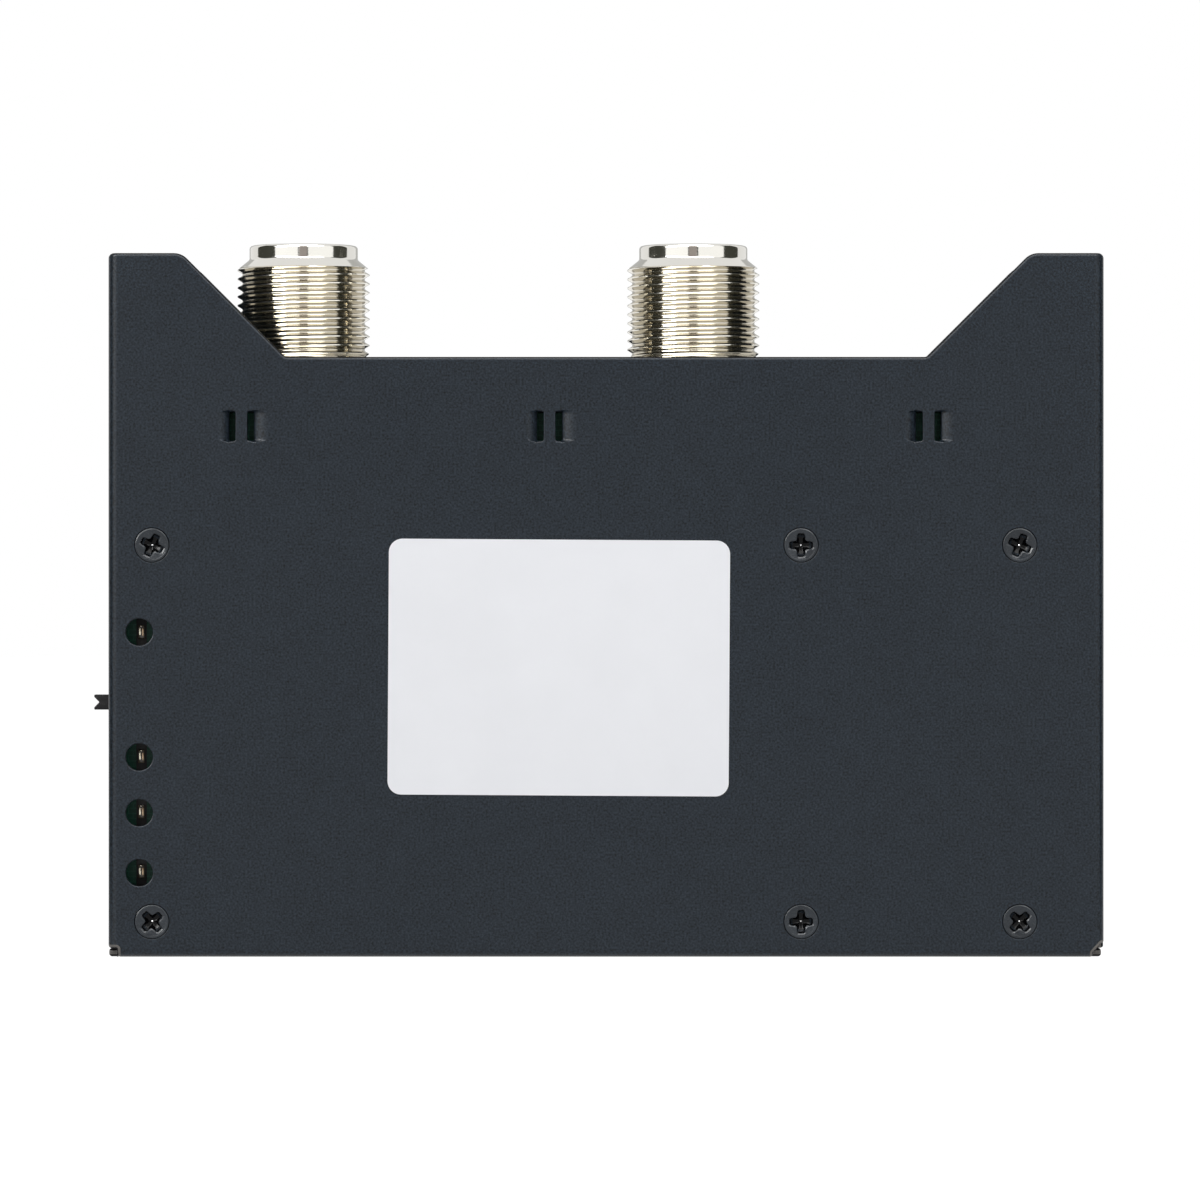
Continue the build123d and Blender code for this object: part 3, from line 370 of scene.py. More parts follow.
# %% Touch glass
def touch_glass(name, view_low, view_high):
    """Glossy dark glass, with the display area between two corners a little lighter than its border."""
    finish = new_finish(name, (0.004, 0.004, 0.005), 0.06, specular=0.28)
    tree = finish.node_tree
    place = add(tree, "SeparateXYZ", {"Vector": add(tree, "TexCoord")["Object"]})
    middle, reach = (view_low + view_high) / 2 * MM, (view_high - view_low) / 2 * MM
    across, upward = (add(tree, "Math", {0: place["XYZ"[k]], 1: middle[k], 2: reach[k]},
                          operation="COMPARE")[0] for k in (0, 2))
    inside = add(tree, "Math", {0: across, 1: upward}, operation="MULTIPLY")[0]
    colour = add(tree, "Mix", {"A": (0.003, 0.003, 0.003, 1), "B": (0.013, 0.014, 0.017, 1),
                               "Factor": inside}, data_type="RGBA")["Result"]
    feed(finish, "Base Color", colour)
    vary_gloss(finish, object_noise(finish, 9.0), 0.04, 0.10)
    return finish


touch_low, touch_high = node_box("touch_panel")
BEZEL = np.array([8.0, 0, 3.5])
FINISHES["screen_glass"] = touch_glass("touch_glass", touch_low + BEZEL, touch_high - BEZEL)
print("display", (touch_high - touch_low - 2 * BEZEL).round(1)[[0, 2]], "mm")

# %% [markdown]
# ### Finishes on the CAD nodes
# Every CAD node that stays in view, or can be seen through an opening, takes its finish by its
# material slot. Nothing in the nodes' meshes is changed.

# %% Give every CAD node its finish
for part in frame["record"]["subparts"]:
    node = frame["nodes"][part["node"]]
    node.data.materials.clear()
    node.data.materials.append(FINISHES[part["material_slot"]])


# %% [markdown]
# ## Outlines and cut edges
# A sheet part starts as a flat blank: an outline with holes. Corners are rounded by tangent
# arcs. Outlines run counter-clockwise and holes clockwise, so the metal is always on the left
# and a positive offset always moves into it.

# %% Outlines
TINY = 1e-6
SHRINK_ROUNDS = 4


def rounded_loop(corners, radii, steps=6):
    """Closed outline through corners: each corner becomes an arc that is tangent to both its sides."""
    corners = np.array(corners, float)
    radii = np.broadcast_to(np.array(radii, float), len(corners))[:, None]
    into = corners - np.roll(corners, 1, 0)
    into /= np.linalg.norm(into, axis=1)[:, None]
    out = np.roll(into, -1, 0)
    cross = into[:, :1] * out[:, 1:] - into[:, 1:] * out[:, :1]
    turn = np.arctan2(np.abs(cross), (into * out).sum(1, keepdims=True))
    inward = np.sign(cross) * np.stack([-into[:, 1], into[:, 0]], 1)
    centre = corners - into * radii * np.tan(turn / 2) + inward * radii
    angle = (turn * np.linspace(0, 1, steps + 1))[:, :, None]
    arc = centre[:, None] + radii[:, None] * (into[:, None] * np.sin(angle) - inward[:, None] * np.cos(angle))
    loop = arc.reshape(-1, 2)
    return loop[np.linalg.norm(loop - np.roll(loop, 1, 0), axis=1) > TINY]


def box_loop(x, z, width, height, radius=0.0, steps=6):
    """A rounded rectangle about a centre."""
    w, h = width / 2, height / 2
    return rounded_loop([(x - w, z - h), (x + w, z - h), (x + w, z + h), (x - w, z + h)], radius, steps)


def circle_loop(x, z, radius, count=48):
    """Points evenly round a circle."""
    a = np.linspace(0, 2 * np.pi, count, endpoint=False)
    return np.stack([x + radius * np.cos(a), z + radius * np.sin(a)], 1)


def offset_loop(loop, distance):
    """Every corner moved left along the mitre of its sides; sides that turn back shrink to a point."""
    ahead = np.roll(loop, -1, 0) - loop
    ahead /= np.linalg.norm(ahead, axis=1)[:, None]
    left = np.stack([-ahead[:, 1], ahead[:, 0]], 1)
    before = np.roll(left, 1, 0)
    mitre = (left + before) / (1 + (left * before).sum(1))[:, None]
    moved = loop + distance * mitre
    for _ in range(SHRINK_ROUNDS):
        turned_back = ((np.roll(moved, -1, 0) - moved) * ahead).sum(1) < TINY
        group = np.cumsum(~np.roll(turned_back, 1)) - 1
        group[group < 0] = group.max()
        size = np.maximum(np.bincount(group), 1)
        moved = np.stack([np.bincount(group, moved[:, k]) / size for k in (0, 1)], 1)[group]
    return moved


def split_at(loop, axis, values):
    """The same outline with extra points where its sides cross the given lines."""
    after = np.roll(loop, -1, 0)
    start, end = loop[:, axis, None], after[:, axis, None]
    run = np.where(np.abs(end - start) < TINY / 1000, np.inf, end - start)
    share = (np.asarray(values)[None] - start) / run
    side, line = np.nonzero((share > TINY) & (share < 1 - TINY))
    share = share[side, line]
    order = np.argsort(np.r_[np.arange(len(loop)), side + share])
    return np.vstack([loop, loop[side] + share[:, None] * (after[side] - loop[side])])[order]


# %% [markdown]
# ### The profile of a cut edge
# Paint and punching round every cut edge a little, and that thin round line is what catches the
# light. The edge is a profile carried along the outline: a quarter circle, the flat cut, and a
# quarter circle. A countersink is the same idea with a cone in place of the flat cut.

# %% Edge profiles as (inset from the outline, depth below the outer face)
def round_edge(radius=EDGE_R, thickness=SHEET, steps=3):
    """Inset r(1 - sin a) at depth r(1 - cos a) for a quarter turn, mirrored at the inner face."""
    a = np.linspace(0, np.pi / 2, steps + 1)
    outer = radius * np.stack([1 - np.sin(a), 1 - np.cos(a)], 1)
    inner = outer[::-1] * [1, -1] + [0, thickness]
    return np.vstack([outer, inner])


def with_margin(profile, margin=0.06):
    """The profile with a narrow flat margin on both faces, so its roundness stays out of their shading."""
    return np.vstack([profile[0] + [margin, 0], profile, profile[-1] + [margin, 0]])


COUNTERSINK = np.array([(1.14, 0), (1.10, 0.02), (1.08, 0.06), (1.06, 0.30), (0.03, SHEET - 0.03),
                        (0, SHEET)])
print("an edge profile has", len(with_margin(round_edge())), "points, a countersink",
      len(with_margin(COUNTERSINK)))

# %% [markdown]
# ### Filling a blank
# A flat face of any outline, with holes, is a Delaunay triangulation whose triangles outside the
# metal are dropped. Fold lines have to be edges of it, or the sheet would bend across triangles,
# so each one is tied to the nearest points where it enters and leaves the metal. Skins and cut
# edges share the same points there, and the welded sheet is closed.

# %% Skins and cut edges
def within(spots, loops):
    """True for each spot from which a ray to the right crosses the loops an odd number of times."""
    start = np.vstack(loops)
    end = np.vstack([np.roll(loop, -1, 0) for loop in loops])
    x, y = spots[:, :1], spots[:, 1:]
    crosses = (start[None, :, 1] > y) != (end[None, :, 1] > y)
    rise = np.where(end[:, 1] == start[:, 1], 1, end[:, 1] - start[:, 1])
    at = start[:, 0] + (y - start[:, 1]) * (end[:, 0] - start[:, 0]) / rise
    return (crosses & (at > x)).sum(1) % 2 == 1


def filled(loops, extra=None, columns=(), rows=()):
    """Triangles between an outline and its holes, with edges along the fold lines and extra points."""
    points = np.vstack(loops)
    edges, first = [], 0
    for loop in loops:
        i = np.arange(len(loop))
        edges += np.stack([first + i, first + (i + 1) % len(loop)], 1).tolist()
        first += len(loop)
    start, end = np.array(edges).T
    for axis, values in ((0, columns), (1, rows)):
        for value in values:
            before, beyond = points[start, axis] - value, points[end, axis] - value
            side = np.flatnonzero((before > 0) != (beyond > 0))
            share = before[side] / (before - beyond)[side]
            a, b = points[start[side], 1 - axis], points[end[side], 1 - axis]
            nearer = np.where(share < 0.5, start[side], end[side])[np.argsort(a + share * (b - a))]
            edges += [pair for pair in nearer.reshape(-1, 2).tolist() if pair[0] != pair[1]]
    if extra is not None:
        points = np.vstack([points, extra])
    made = geometry.delaunay_2d_cdt([Vector(p) for p in points.tolist()], edges, [], 0, 1e-7)
    corners = np.array([tuple(v) for v in made[0]])
    faces = np.array(made[2])
    return corners, faces[within(corners[faces].mean(1), loops)]


def blank(cuts, thickness=SHEET, extra=None, columns=(), rows=()):
    """A sheet from (loop, edge profile) pairs as (u, v, depth): two skins and a strip round each loop."""
    cuts = [(split_at(split_at(loop, 0, columns), 1, rows), profile) for loop, profile in cuts]
    parts = []
    for skin, depth in ((0, 0.0), (-1, thickness)):
        loops = [offset_loop(loop, profile[skin, 0]) for loop, profile in cuts]
        corners, faces = filled(loops, extra, columns, rows)
        parts.append((np.column_stack([corners, np.full(len(corners), depth)]), faces))
    for loop, profile in cuts:
        rings = np.stack([np.column_stack([offset_loop(loop, inset), np.full(len(loop), depth)])
                          for inset, depth in profile])
        parts.append((rings, grid_faces(*rings.shape[:2])))
    return parts


# %% [markdown]
# ### Folding the blank
# A press brake turns the sheet through a quarter circle: points before the fold line stay, points
# on the arc go round it, and points past it run straight down. The same formula works for the
# sides, where the run is measured across, and for the foot, where it is measured downwards.

# %% Folds
def quarter_fold(run, depth, radius):
    """Distance along the first face and below it, for a sheet that turns a quarter circle from run 0."""
    angle = np.clip(run / radius, 0, np.pi / 2)
    past = np.maximum(run - radius * np.pi / 2, 0)
    along = np.where(run > 0, (radius - depth) * np.sin(angle), run)
    below = np.where(run > 0, radius - (radius - depth) * np.cos(angle) + past, depth)
    return along, below


def fold_tray(points, side_line, foot_line, foot_half, split_height, radius=FOLD_R):
    """Folds both sides past side_line and the foot below foot_line; gives x, depth and z."""
    u, v, w = np.moveaxis(np.asarray(points), -1, 0)
    is_side = (np.abs(u) > side_line) & (v > split_height)
    is_foot = (v < foot_line) & (np.abs(u) < foot_half) & ~is_side
    along, below = quarter_fold(np.abs(u) - side_line, w, radius)
    x = np.where(is_side, np.sign(u) * (side_line + along), u)
    depth = np.where(is_side, below, w)
    along, below = quarter_fold(foot_line - v, w, radius)
    z = np.where(is_foot, foot_line - along, v)
    depth = np.where(is_foot, below, depth)
    return x, depth, z


ARC = FOLD_R * np.pi / 2
FOLD_STEPS = np.linspace(0, ARC, 9)


def both_sides(corners, radii):
    """A right half outline, from the foot up to the middle, completed by its mirror image."""
    corners = np.array(corners, float)
    left = corners[::-1] * [-1, 1]
    return np.vstack([corners, left]), np.r_[radii, radii[::-1]]


print("each fold takes", round(ARC, 2), "mm of sheet")

# %% [markdown]
# ## Rear shell
# The back panel, both side walls and the bottom wall are one sheet. Its blank is a cross: the
# panel in the middle with its two ears, a wall on each side and the bottom wall below, with a
# small notch where three faces would meet. All windows, slots and countersunk holes are cut in
# the flat, as on a real punching machine, and then the whole blank is folded.

# %% The shell's blank
SIDE_LINE = HALF_WIDTH - FOLD_R
DEPTH = REAR - FRONT
wall_end = SIDE_LINE + ARC + DEPTH - FOLD_R
foot_end = FOLD_R - ARC - (DEPTH - FOLD_R)
RELIEF = 1.6
relief_u = SIDE_LINE + ARC + RELIEF - FOLD_R
relief_v = FOLD_R - ARC - (RELIEF - FOLD_R)
slant_top = HALF_WIDTH - EAR_FLAT
slant_foot = slant_top - (EAR_TOP - PANEL_TOP)
WALL_FOOT = 1.03
top_half = [(wall_end, EAR_TOP), (slant_top, EAR_TOP), (slant_foot, PANEL_TOP)]
switch_half = [(HALF_WIDTH - 0.02, foot_end), (HALF_WIDTH - 0.02, relief_v), (HALF_WIDTH - 1.05, relief_v),
               (HALF_WIDTH - 1.05, WALL_FOOT), (wall_end, WALL_FOOT)]
plain_half = [(HALF_WIDTH - 0.25, foot_end), (HALF_WIDTH - 0.25, relief_v), (HALF_WIDTH - 1.25, relief_v),
              (HALF_WIDTH - 1.25, 0.5), (HALF_WIDTH - 0.25, 1.56), (relief_u, 1.56), (relief_u, WALL_FOOT),
              (wall_end, WALL_FOOT)]
top_radii = [0.3, 2.2, 0.8]
shell_outline = rounded_loop(
    switch_half + top_half + [(-u, v) for u, v in (plain_half + top_half)[::-1]],
    [0.3, 0.3, 0.15, 0.1, 0.3] + top_radii + top_radii[::-1] + [0.3, 0.1, 0.1, 0.2, 0.2, 0.15, 0.3, 0.3])
print("blank", round(2 * wall_end, 1), "x", round(EAR_TOP - foot_end, 1), "mm, outline of",
      len(shell_outline), "points")

# %% Windows, slots and holes
def wall_u(y):
    """Place on the blank, across, of a point of the side wall at y."""
    return SIDE_LINE + ARC + (REAR - FOLD_R - y)


LED_X = HALF_WIDTH - 3.7
LED_ROWS = (38.5, 23.7, 17.1, 10.0)
BRIDGES = ((43.2, 62.9), (6.7, 62.9), (-38.2, 62.9))
STRAP, SLIT, BRIDGE_TALL, PRESS = 1.4, 0.78, 3.45, 0.6
SCREWS = [(x, z) for x in (HALF_WIDTH - 5.2, -23.1, -HALF_WIDTH + 10.0) for z in (48.8, 4.2)]
SIDE_SCREWS = [(side, z) for side in (1, -1) for z in (14.0, 54.0)]
SIDE_SCREW_Y = -9.0
usb_low, usb_high = node_box("usb_socket_shell")
key_low, key_high = node_box("enter_key")
switch_low, switch_high = node_box("switch_housing")
usb_y, usb_z = (usb_low + usb_high)[1:] / 2
key_y = (key_low + key_high)[1] / 2
switch_y, switch_z = (switch_low + switch_high)[1:] / 2
edge = round_edge()
cuts = [(shell_outline, round_edge(0.38, steps=5))]
cuts += [(circle_loop(LED_X, z, 1.6)[::-1], edge) for z in LED_ROWS]
cuts += [(circle_loop(x, z, 1.0)[::-1], COUNTERSINK) for x, z in SCREWS]
cuts += [(circle_loop(side * wall_u(SIDE_SCREW_Y), z, 1.0)[::-1], COUNTERSINK) for side, z in SIDE_SCREWS]
cuts += [(circle_loop(wall_u(key_y), z, 2.0)[::-1], edge) for z in LED_ROWS[1:]]
cuts += [(box_loop(wall_u(usb_y), usb_z, 3.86, 9.64, 1.8, 10)[::-1], edge)]
cuts += [(box_loop(wall_u(switch_y), switch_z, 2.2, 4.5, 0.35)[::-1], edge)]
for bridge_x, bridge_z in BRIDGES:
    for side in (1, -1):
        slit_x = bridge_x + side * (STRAP + SLIT) / 2
        slit = box_loop(slit_x, bridge_z, SLIT, BRIDGE_TALL, 0.12, 3)
        slit = split_at(slit, 1, bridge_z + np.linspace(-1.5, 1.5, 19))
        cuts.append((slit[::-1], round_edge(0.1)))
print(len(cuts), "cut lines in the blank")

# %% [markdown]
# ### Pressed bridges
# Near the top edge the panel is lanced in three places: two slits leave a flat strap, and the
# metal beside each slit is pressed inwards, as a long shallow ramp on one side and a short steep
# one on the other. Depth falls off smoothly away from the slit and ends in a sheared step above
# and below. A flat blank has no points there of its own, so it gets a fine grid of extra ones.

# %% Depth of the pressed dimples
LONG_RAMP, STEEP_RAMP = (PRESS, 2.0, 2.5), (PRESS + 0.2, 1.2, 1.5)


def pressed(u, v):
    """Depth * (1 - a)^p * (1 - b^24): a runs out from the slit, b up and down; both are 1 at the rim."""
    total = np.zeros_like(u)
    for x, z in BRIDGES:
        out = np.abs(u - x) - STRAP / 2 - SLIT
        depth, length, p = (np.where(u < x, *pair) for pair in zip(LONG_RAMP, STEEP_RAMP))
        a = np.clip(out / length, -0.05, 1)
        half_height = BRIDGE_TALL / 2 + 0.16 - 0.35 * np.clip(a, 0, 1) ** 2
        b = np.clip(np.abs(v - z) / half_height, 0, 1)
        total += np.where(out > -0.5 * SLIT, depth * (1 - a) ** p * (1 - b ** 24), 0)
    return total


def dimple_points():
    """A fine grid of points over each dimple, kept clear of the slits and the strap between them."""
    upward = np.r_[np.linspace(0.06, 1.38, 12), np.linspace(1.46, 1.94, 13), 1.98, 2.05]
    across, up = np.meshgrid(np.linspace(-3.9, 3.9, 61), np.r_[-upward[::-1], upward], indexing="ij")
    spot = np.stack([across.ravel(), up.ravel()], 1)
    near = (np.abs(spot) < (STRAP / 2 + SLIT + 0.22, BRIDGE_TALL / 2 + 0.22)).all(1)
    return np.vstack([spot[~near] + place for place in BRIDGES])


print("bridges at", *BRIDGES, "with", len(dimple_points()), "extra points")

# %% The folded shell
EAR_CORNER_R = 0.7
NOTCH_TOP, NOTCH_DEPTH = 2.6, 4.0
OUTLINE_STRIP = 2
columns = np.r_[-SIDE_LINE - FOLD_STEPS[::-1], SIDE_LINE + FOLD_STEPS]
rows = FOLD_R - FOLD_STEPS
parts = []
cuts = [(loop, with_margin(profile)) for loop, profile in cuts]
for number, (points, faces) in enumerate(blank(cuts, extra=dimple_points(), columns=columns, rows=rows)):
    points = np.array(points)
    points[..., 2] += pressed(points[..., 0], points[..., 1])
    x, depth, z = fold_tray(points, SIDE_LINE, FOLD_R, HALF_WIDTH, 0.0)
    past_corner = np.clip(np.abs(x) - (HALF_WIDTH - EAR_CORNER_R), 0, EAR_CORNER_R)
    z = np.minimum(z, EAR_TOP - EAR_CORNER_R + np.sqrt(EAR_CORNER_R ** 2 - past_corner ** 2))
    folded = np.stack([x, REAR - depth, z], -1)
    finish = np.zeros(len(faces), int)
    # Past the first rows of the outline's rounding the edge is painted near black, a painted shade (1); at
    # the lower corner notches some rows take the notch finish (2).
    if number == OUTLINE_STRIP:
        step = np.arange(len(faces)) // folded.shape[1]
        middle = folded.reshape(-1, 3)[faces].mean(1)
        at_notch = (middle[:, 2] < NOTCH_TOP) & (middle[:, 1] > REAR - NOTCH_DEPTH)
        on_panel = middle[:, 1] > REAR - SHEET - 0.02
        bare = np.where(on_panel, step < 3, (step > 4) & (step < 8))
        finish = np.select([at_notch & bare, at_notch | (step > 2)], [2, 1], 0)
    parts += [(folded, np.asarray(faces)[finish == k], k) for k in np.unique(finish)]
new_piece("rear_shell_sheet", parts, "case", "case_paint", ["rear_shell"],
          [case_paint, edge_painted_shade, notch_edge], weighted=True)


# %% [markdown]
# ## Front cover
# The front is a second folded sheet that slides inside the first: the same eared outline, a
# little narrower, a window for the display, short flanges at the sides and the foot, and four
# bosses that the display's tray is screwed to. A slot beside the foot flange lets it fold alone.

# %% The cover's blank, folded
COVER_HALF = cover_high[0]
COVER_FOOT = cover_low[2]
FLANGE = 6.0
cover_side = COVER_HALF - FOLD_R
cover_fold = COVER_FOOT + FOLD_R
flange_u = cover_side + ARC + FLANGE - FOLD_R
flange_v = cover_fold - ARC - (FLANGE - FOLD_R)
foot_u = COVER_HALF - 4.0
cover_outline = rounded_loop(*both_sides(
    [(foot_u, flange_v), (foot_u, cover_fold), (foot_u + 0.3, cover_fold), (foot_u + 0.3, COVER_FOOT),
     (flange_u, COVER_FOOT), (flange_u, EAR_TOP), (slant_top + 0.2, EAR_TOP), (slant_foot + 0.2, PANEL_TOP)],
    [0.4, 0.0, 0.0, 0.1, 0.3, 0.3, 4.5, 0.8]))
view_z = (touch_low + touch_high)[2] / 2
VIEW_WIDTH, VIEW_HEIGHT = 84.5, 56.5
side_screw_u = cover_side + ARC + (SIDE_SCREW_Y - FRONT - FOLD_R)
cuts = [(cover_outline, edge), (box_loop(0, view_z, VIEW_WIDTH, VIEW_HEIGHT, 1.0)[::-1], edge)]
cuts += [(circle_loop(side * side_screw_u, z, 1.04)[::-1], round_edge(0.05)) for side, z in SIDE_SCREWS]
cuts = [(loop, with_margin(profile)) for loop, profile in cuts]
columns = np.r_[-cover_side - FOLD_STEPS[::-1], cover_side + FOLD_STEPS]
rows = cover_fold - FOLD_STEPS
parts = []
for points, faces in blank(cuts, columns=columns, rows=rows):
    x, depth, z = fold_tray(points, cover_side, cover_fold, foot_u + 0.15, -100)
    parts.append((np.stack([x, FRONT + depth, z], -1), faces))
print("cover blank", round(2 * flange_u, 1), "x", round(EAR_TOP - flange_v, 1), "mm")


# %% [markdown]
# ### Turned parts
# Anything made on a lathe is a profile of radius against height, carried round the axis. The
# same function also makes hexagons, threads and cross recesses, because the radius may change
# with the angle as well: the arrays simply get one column for every angle.

# %% Surfaces round an axis
def turned(radius, height, count=64, along=(0, 0, 1), centre=(0, 0, 0), wrap=False, closed_columns=False):
    """Points at centre + radius * (cos a, sin a) + height * axis; radius and height per row or point."""
    radius, height = (np.array(a, float) for a in (radius, height))
    if radius.ndim == 1:
        radius = np.repeat(radius[:, None], count, 1)
    if height.ndim == 1:
        height = np.repeat(height[:, None], radius.shape[1], 1)
    a = np.linspace(0, 2 * np.pi, radius.shape[1], endpoint=closed_columns)
    axis = np.array(along, float)
    side = np.cross(axis, (0, 0, 1)) if abs(axis[2]) < 0.9 else np.array([1.0, 0, 0])
    third = np.cross(axis, side)
    ring = np.cos(a)[:, None] * side + np.sin(a)[:, None] * third
    points = np.array(centre) + radius[..., None] * ring + height[..., None] * axis
    return points, grid_faces(*radius.shape, wrap_rows=wrap, wrap_cols=not closed_columns)


BOSS_X, BOSS_Z = 51.5, 26
BOSS_R, BOSS_DEPTH = [0.8, 2.1, 2.2, 2.2, 0.8], [4.99, 4.99, 4.9, 0.95, 0.95]
for x in (-BOSS_X, BOSS_X):
    for z in (view_z - BOSS_Z, view_z + BOSS_Z):
        parts.append(turned(BOSS_R, BOSS_DEPTH, 32, (0, 1, 0), (x, FRONT, z), wrap=True))
new_piece("front_cover_sheet", parts, "case", "case_paint", ["front_cover"], weighted=True)


# %% [markdown]
# ## Threaded ports
# The socket's shell is one turned part with a 24 threads per inch screw thread. A thread is not
# a stack of rings: its crest climbs by one pitch for every turn, so the radius depends on
# height / pitch - angle / 360. A narrow flat crest, 60 degree flanks and a rounded root, faded in
# at the foot and cut off by the cone below the nose, give the real silhouette. The grooves take a
# darker, yellower nickel, a painted shade, and the crests a brighter one, a painted highlight. A
# hexagon under the bracket stops the shell from turning; its radius follows the distance to the nearest flat.

# %% Sizes of the ports
PITCH = 25.4 / 24
CREST_R = 7.9375
BRACKET_TOP = node_box("connector_bracket")[1][2]
port_low, port_high = node_box("port_1_body")
NUT_TOP = node_box("jack_nuts")[1][2]
THREAD_TOP = port_high[2] - 3.15
NOSE_TOP = port_high[2] - 0.46
PORT_ANGLES = 128
BORE_R = 4.05
HEX_FLATS, HEX_CORNER_R = 18.0, 10.17
print("pitch", round(PITCH, 4), "mm, thread from", round(NUT_TOP, 2), "to", round(THREAD_TOP, 2), "mm")

# %% Screw thread
THREAD_START = 0.38
HALF_STEPS = np.array([0, 0.040, 0.052, 0.062, 0.075, 0.12, 0.2, 0.295, 0.34, 0.385, 0.44])
STEPS = np.r_[HALF_STEPS, 0.5, 1 - HALF_STEPS[:0:-1]]
CREST_FLAT, ROOT_R = 0.055, 0.23
FLANK = np.tan(np.radians(60))


def groove(phase):
    """Depth under the crest in mm: a narrow flat, a 60 degree flank and an arc of ROOT_R tangent to it."""
    from_crest = np.abs(phase - np.round(phase)) * PITCH
    tangent = PITCH / 2 - ROOT_R * np.cos(np.radians(30))
    flank = FLANK * np.clip(from_crest, CREST_FLAT, tangent) - FLANK * CREST_FLAT
    from_root = np.minimum(PITCH / 2 - from_crest, PITCH / 2 - tangent)
    return flank + np.sqrt(ROOT_R ** 2 - from_root ** 2) - ROOT_R / 2


def thread_grid(low, high, root):
    """Rows that climb with the helix, z = pitch * (turn + step + angle / 360), held between low and high."""
    angle = np.linspace(0, 2 * np.pi, PORT_ANGLES + 1)
    turns = np.arange(np.floor(low / PITCH) - 2, np.ceil(high / PITCH) + 1)
    phase = (turns[:, None] + STEPS).reshape(-1, 1)
    z = np.clip(PITCH * (phase + THREAD_START + angle / (2 * np.pi)), low, high)
    phase = z / PITCH - THREAD_START - angle / (2 * np.pi)
    cut = CREST_R - groove(phase)
    ease = np.clip((z - low) / 0.7, 0, 1)
    cone = CREST_R - 1.25 * np.clip(z - (high - 0.15), 0, None)
    return np.minimum(cut * ease + root * (1 - ease), cone), z


print("groove", round(groove(0.5), 3), "mm deep")


# %% Port surface
def hexagon_radius(across_flats, angle):
    """Distance from the axis to a hexagon's side: half the flats over the cosine to the nearest flat."""
    to_flat = (angle - np.pi / 2 + np.pi / 6) % (np.pi / 3) - np.pi / 6
    return across_flats / 2 / np.cos(to_flat)


def rings(*spans):
    """Rows of radius and height from (base height, profile) pairs; heights count from the base."""
    rows = [(r * np.ones(PORT_ANGLES + 1), np.full(PORT_ANGLES + 1, base + z)) for base, profile in spans
            for r, z in profile]
    return [np.array(part) for part in zip(*rows)]


def port_body():
    """Rows from the foot up the outside, over the nose and down the bore; the last column is the first."""
    under, foot = BRACKET_TOP - SHEET, port_low[2]
    hexagon = hexagon_radius(HEX_FLATS, np.linspace(0, 2 * np.pi, PORT_ANGLES + 1))
    chamfered, full = np.minimum(hexagon, HEX_FLATS / 2 + 0.18), np.minimum(hexagon, HEX_CORNER_R)
    root = CREST_R - 0.45
    below = rings((foot, [(BORE_R, 0), (4.75, 0), (4.95, 0.2)]),
                  (under, [(4.95, -2.0), (chamfered, -2.0), (full, -1.7), (full, -0.3), (chamfered, 0),
                           (CREST_R - 0.05, 0)]),
                  (NUT_TOP, [(CREST_R - 0.05, 0), (root, 0.05), (root, 0.45)]))
    nose = rings((THREAD_TOP, [(7.72, 0.02), (7.68, 0.06), (6.66, 0.88), (6.55, 1.0), (6.5, 1.16),
                               (6.5, 1.22)]),
                 (NOSE_TOP, [(6.5, -0.42), (6.5, -0.36), (6.45, -0.19), (6.31, -0.05), (6.15, 0), (4.3, 0),
                             (4.12, -0.06), (BORE_R, -0.25)]),
                 (foot, [(BORE_R, 0)]))
    return [np.vstack(part) for part in zip(below, thread_grid(NUT_TOP + 0.5, THREAD_TOP, root), nose)]


body_r, body_z = port_body()
print("port surface of", body_r.shape[0], "rows by", body_r.shape[1], "columns")

# %% Port bodies
port_x = {}
for port in ("port_1", "port_2"):
    low, high = node_box(port + "_body")
    port_x[port] = (low + high)[0] / 2
    points, faces = turned(body_r, body_z, centre=(port_x[port], 0, 0), wrap=True, closed_columns=True)
    middle = points.reshape(-1, 3)[faces].mean(1)
    out = np.hypot(middle[:, 0] - port_x[port], middle[:, 1])
    on_thread = (middle[:, 2] > NUT_TOP + 0.1) & (middle[:, 2] < THREAD_TOP + 0.01) & (out > 6.8)
    on_crest = on_thread & (out > CREST_R - 0.012)
    # Groove faces take the painted shade (1), crest faces the painted highlight (2).
    shape = [(points, faces[~on_thread]), (points, faces[on_thread & ~on_crest], 1),
             (points, faces[on_crest], 2)]
    new_piece(port + "_threaded_body", shape, "case", "nickel", [port + "_body"],
              [FINISHES["nickel"], groove_painted_shade, crest_painted_highlight], smooth_deg=50)


# %% [markdown]
# ### Nuts and washers
# Each socket is clamped by a thin hexagon nut with its corners turned down, on a washer with
# inner teeth. Both are rings: the nut's outside is the hexagon formula limited by a cone, and
# the washer's inside steps in and out with the angle.

# %% Nuts and toothed washers
def nut_rows(flats, foot, top, bore, count=144):
    """Rows: bore, foot, hexagon, top. The crown cone falls 30 degrees past the flats' circle."""
    hexagon = hexagon_radius(flats, np.linspace(0, 2 * np.pi, count, endpoint=False))
    fall = (hexagon - flats / 2) * np.tan(np.radians(30))
    half = [(bore, 0.2), (bore + 0.25, 0), (flats / 2 - 0.15, 0), (hexagon, 0.05 + fall)]
    rows = [(r, foot + h) for r, h in half] + [(r, top - h) for r, h in half[::-1]]
    return [np.array([row * np.ones(count) for row in part]) for part in zip(*rows)]


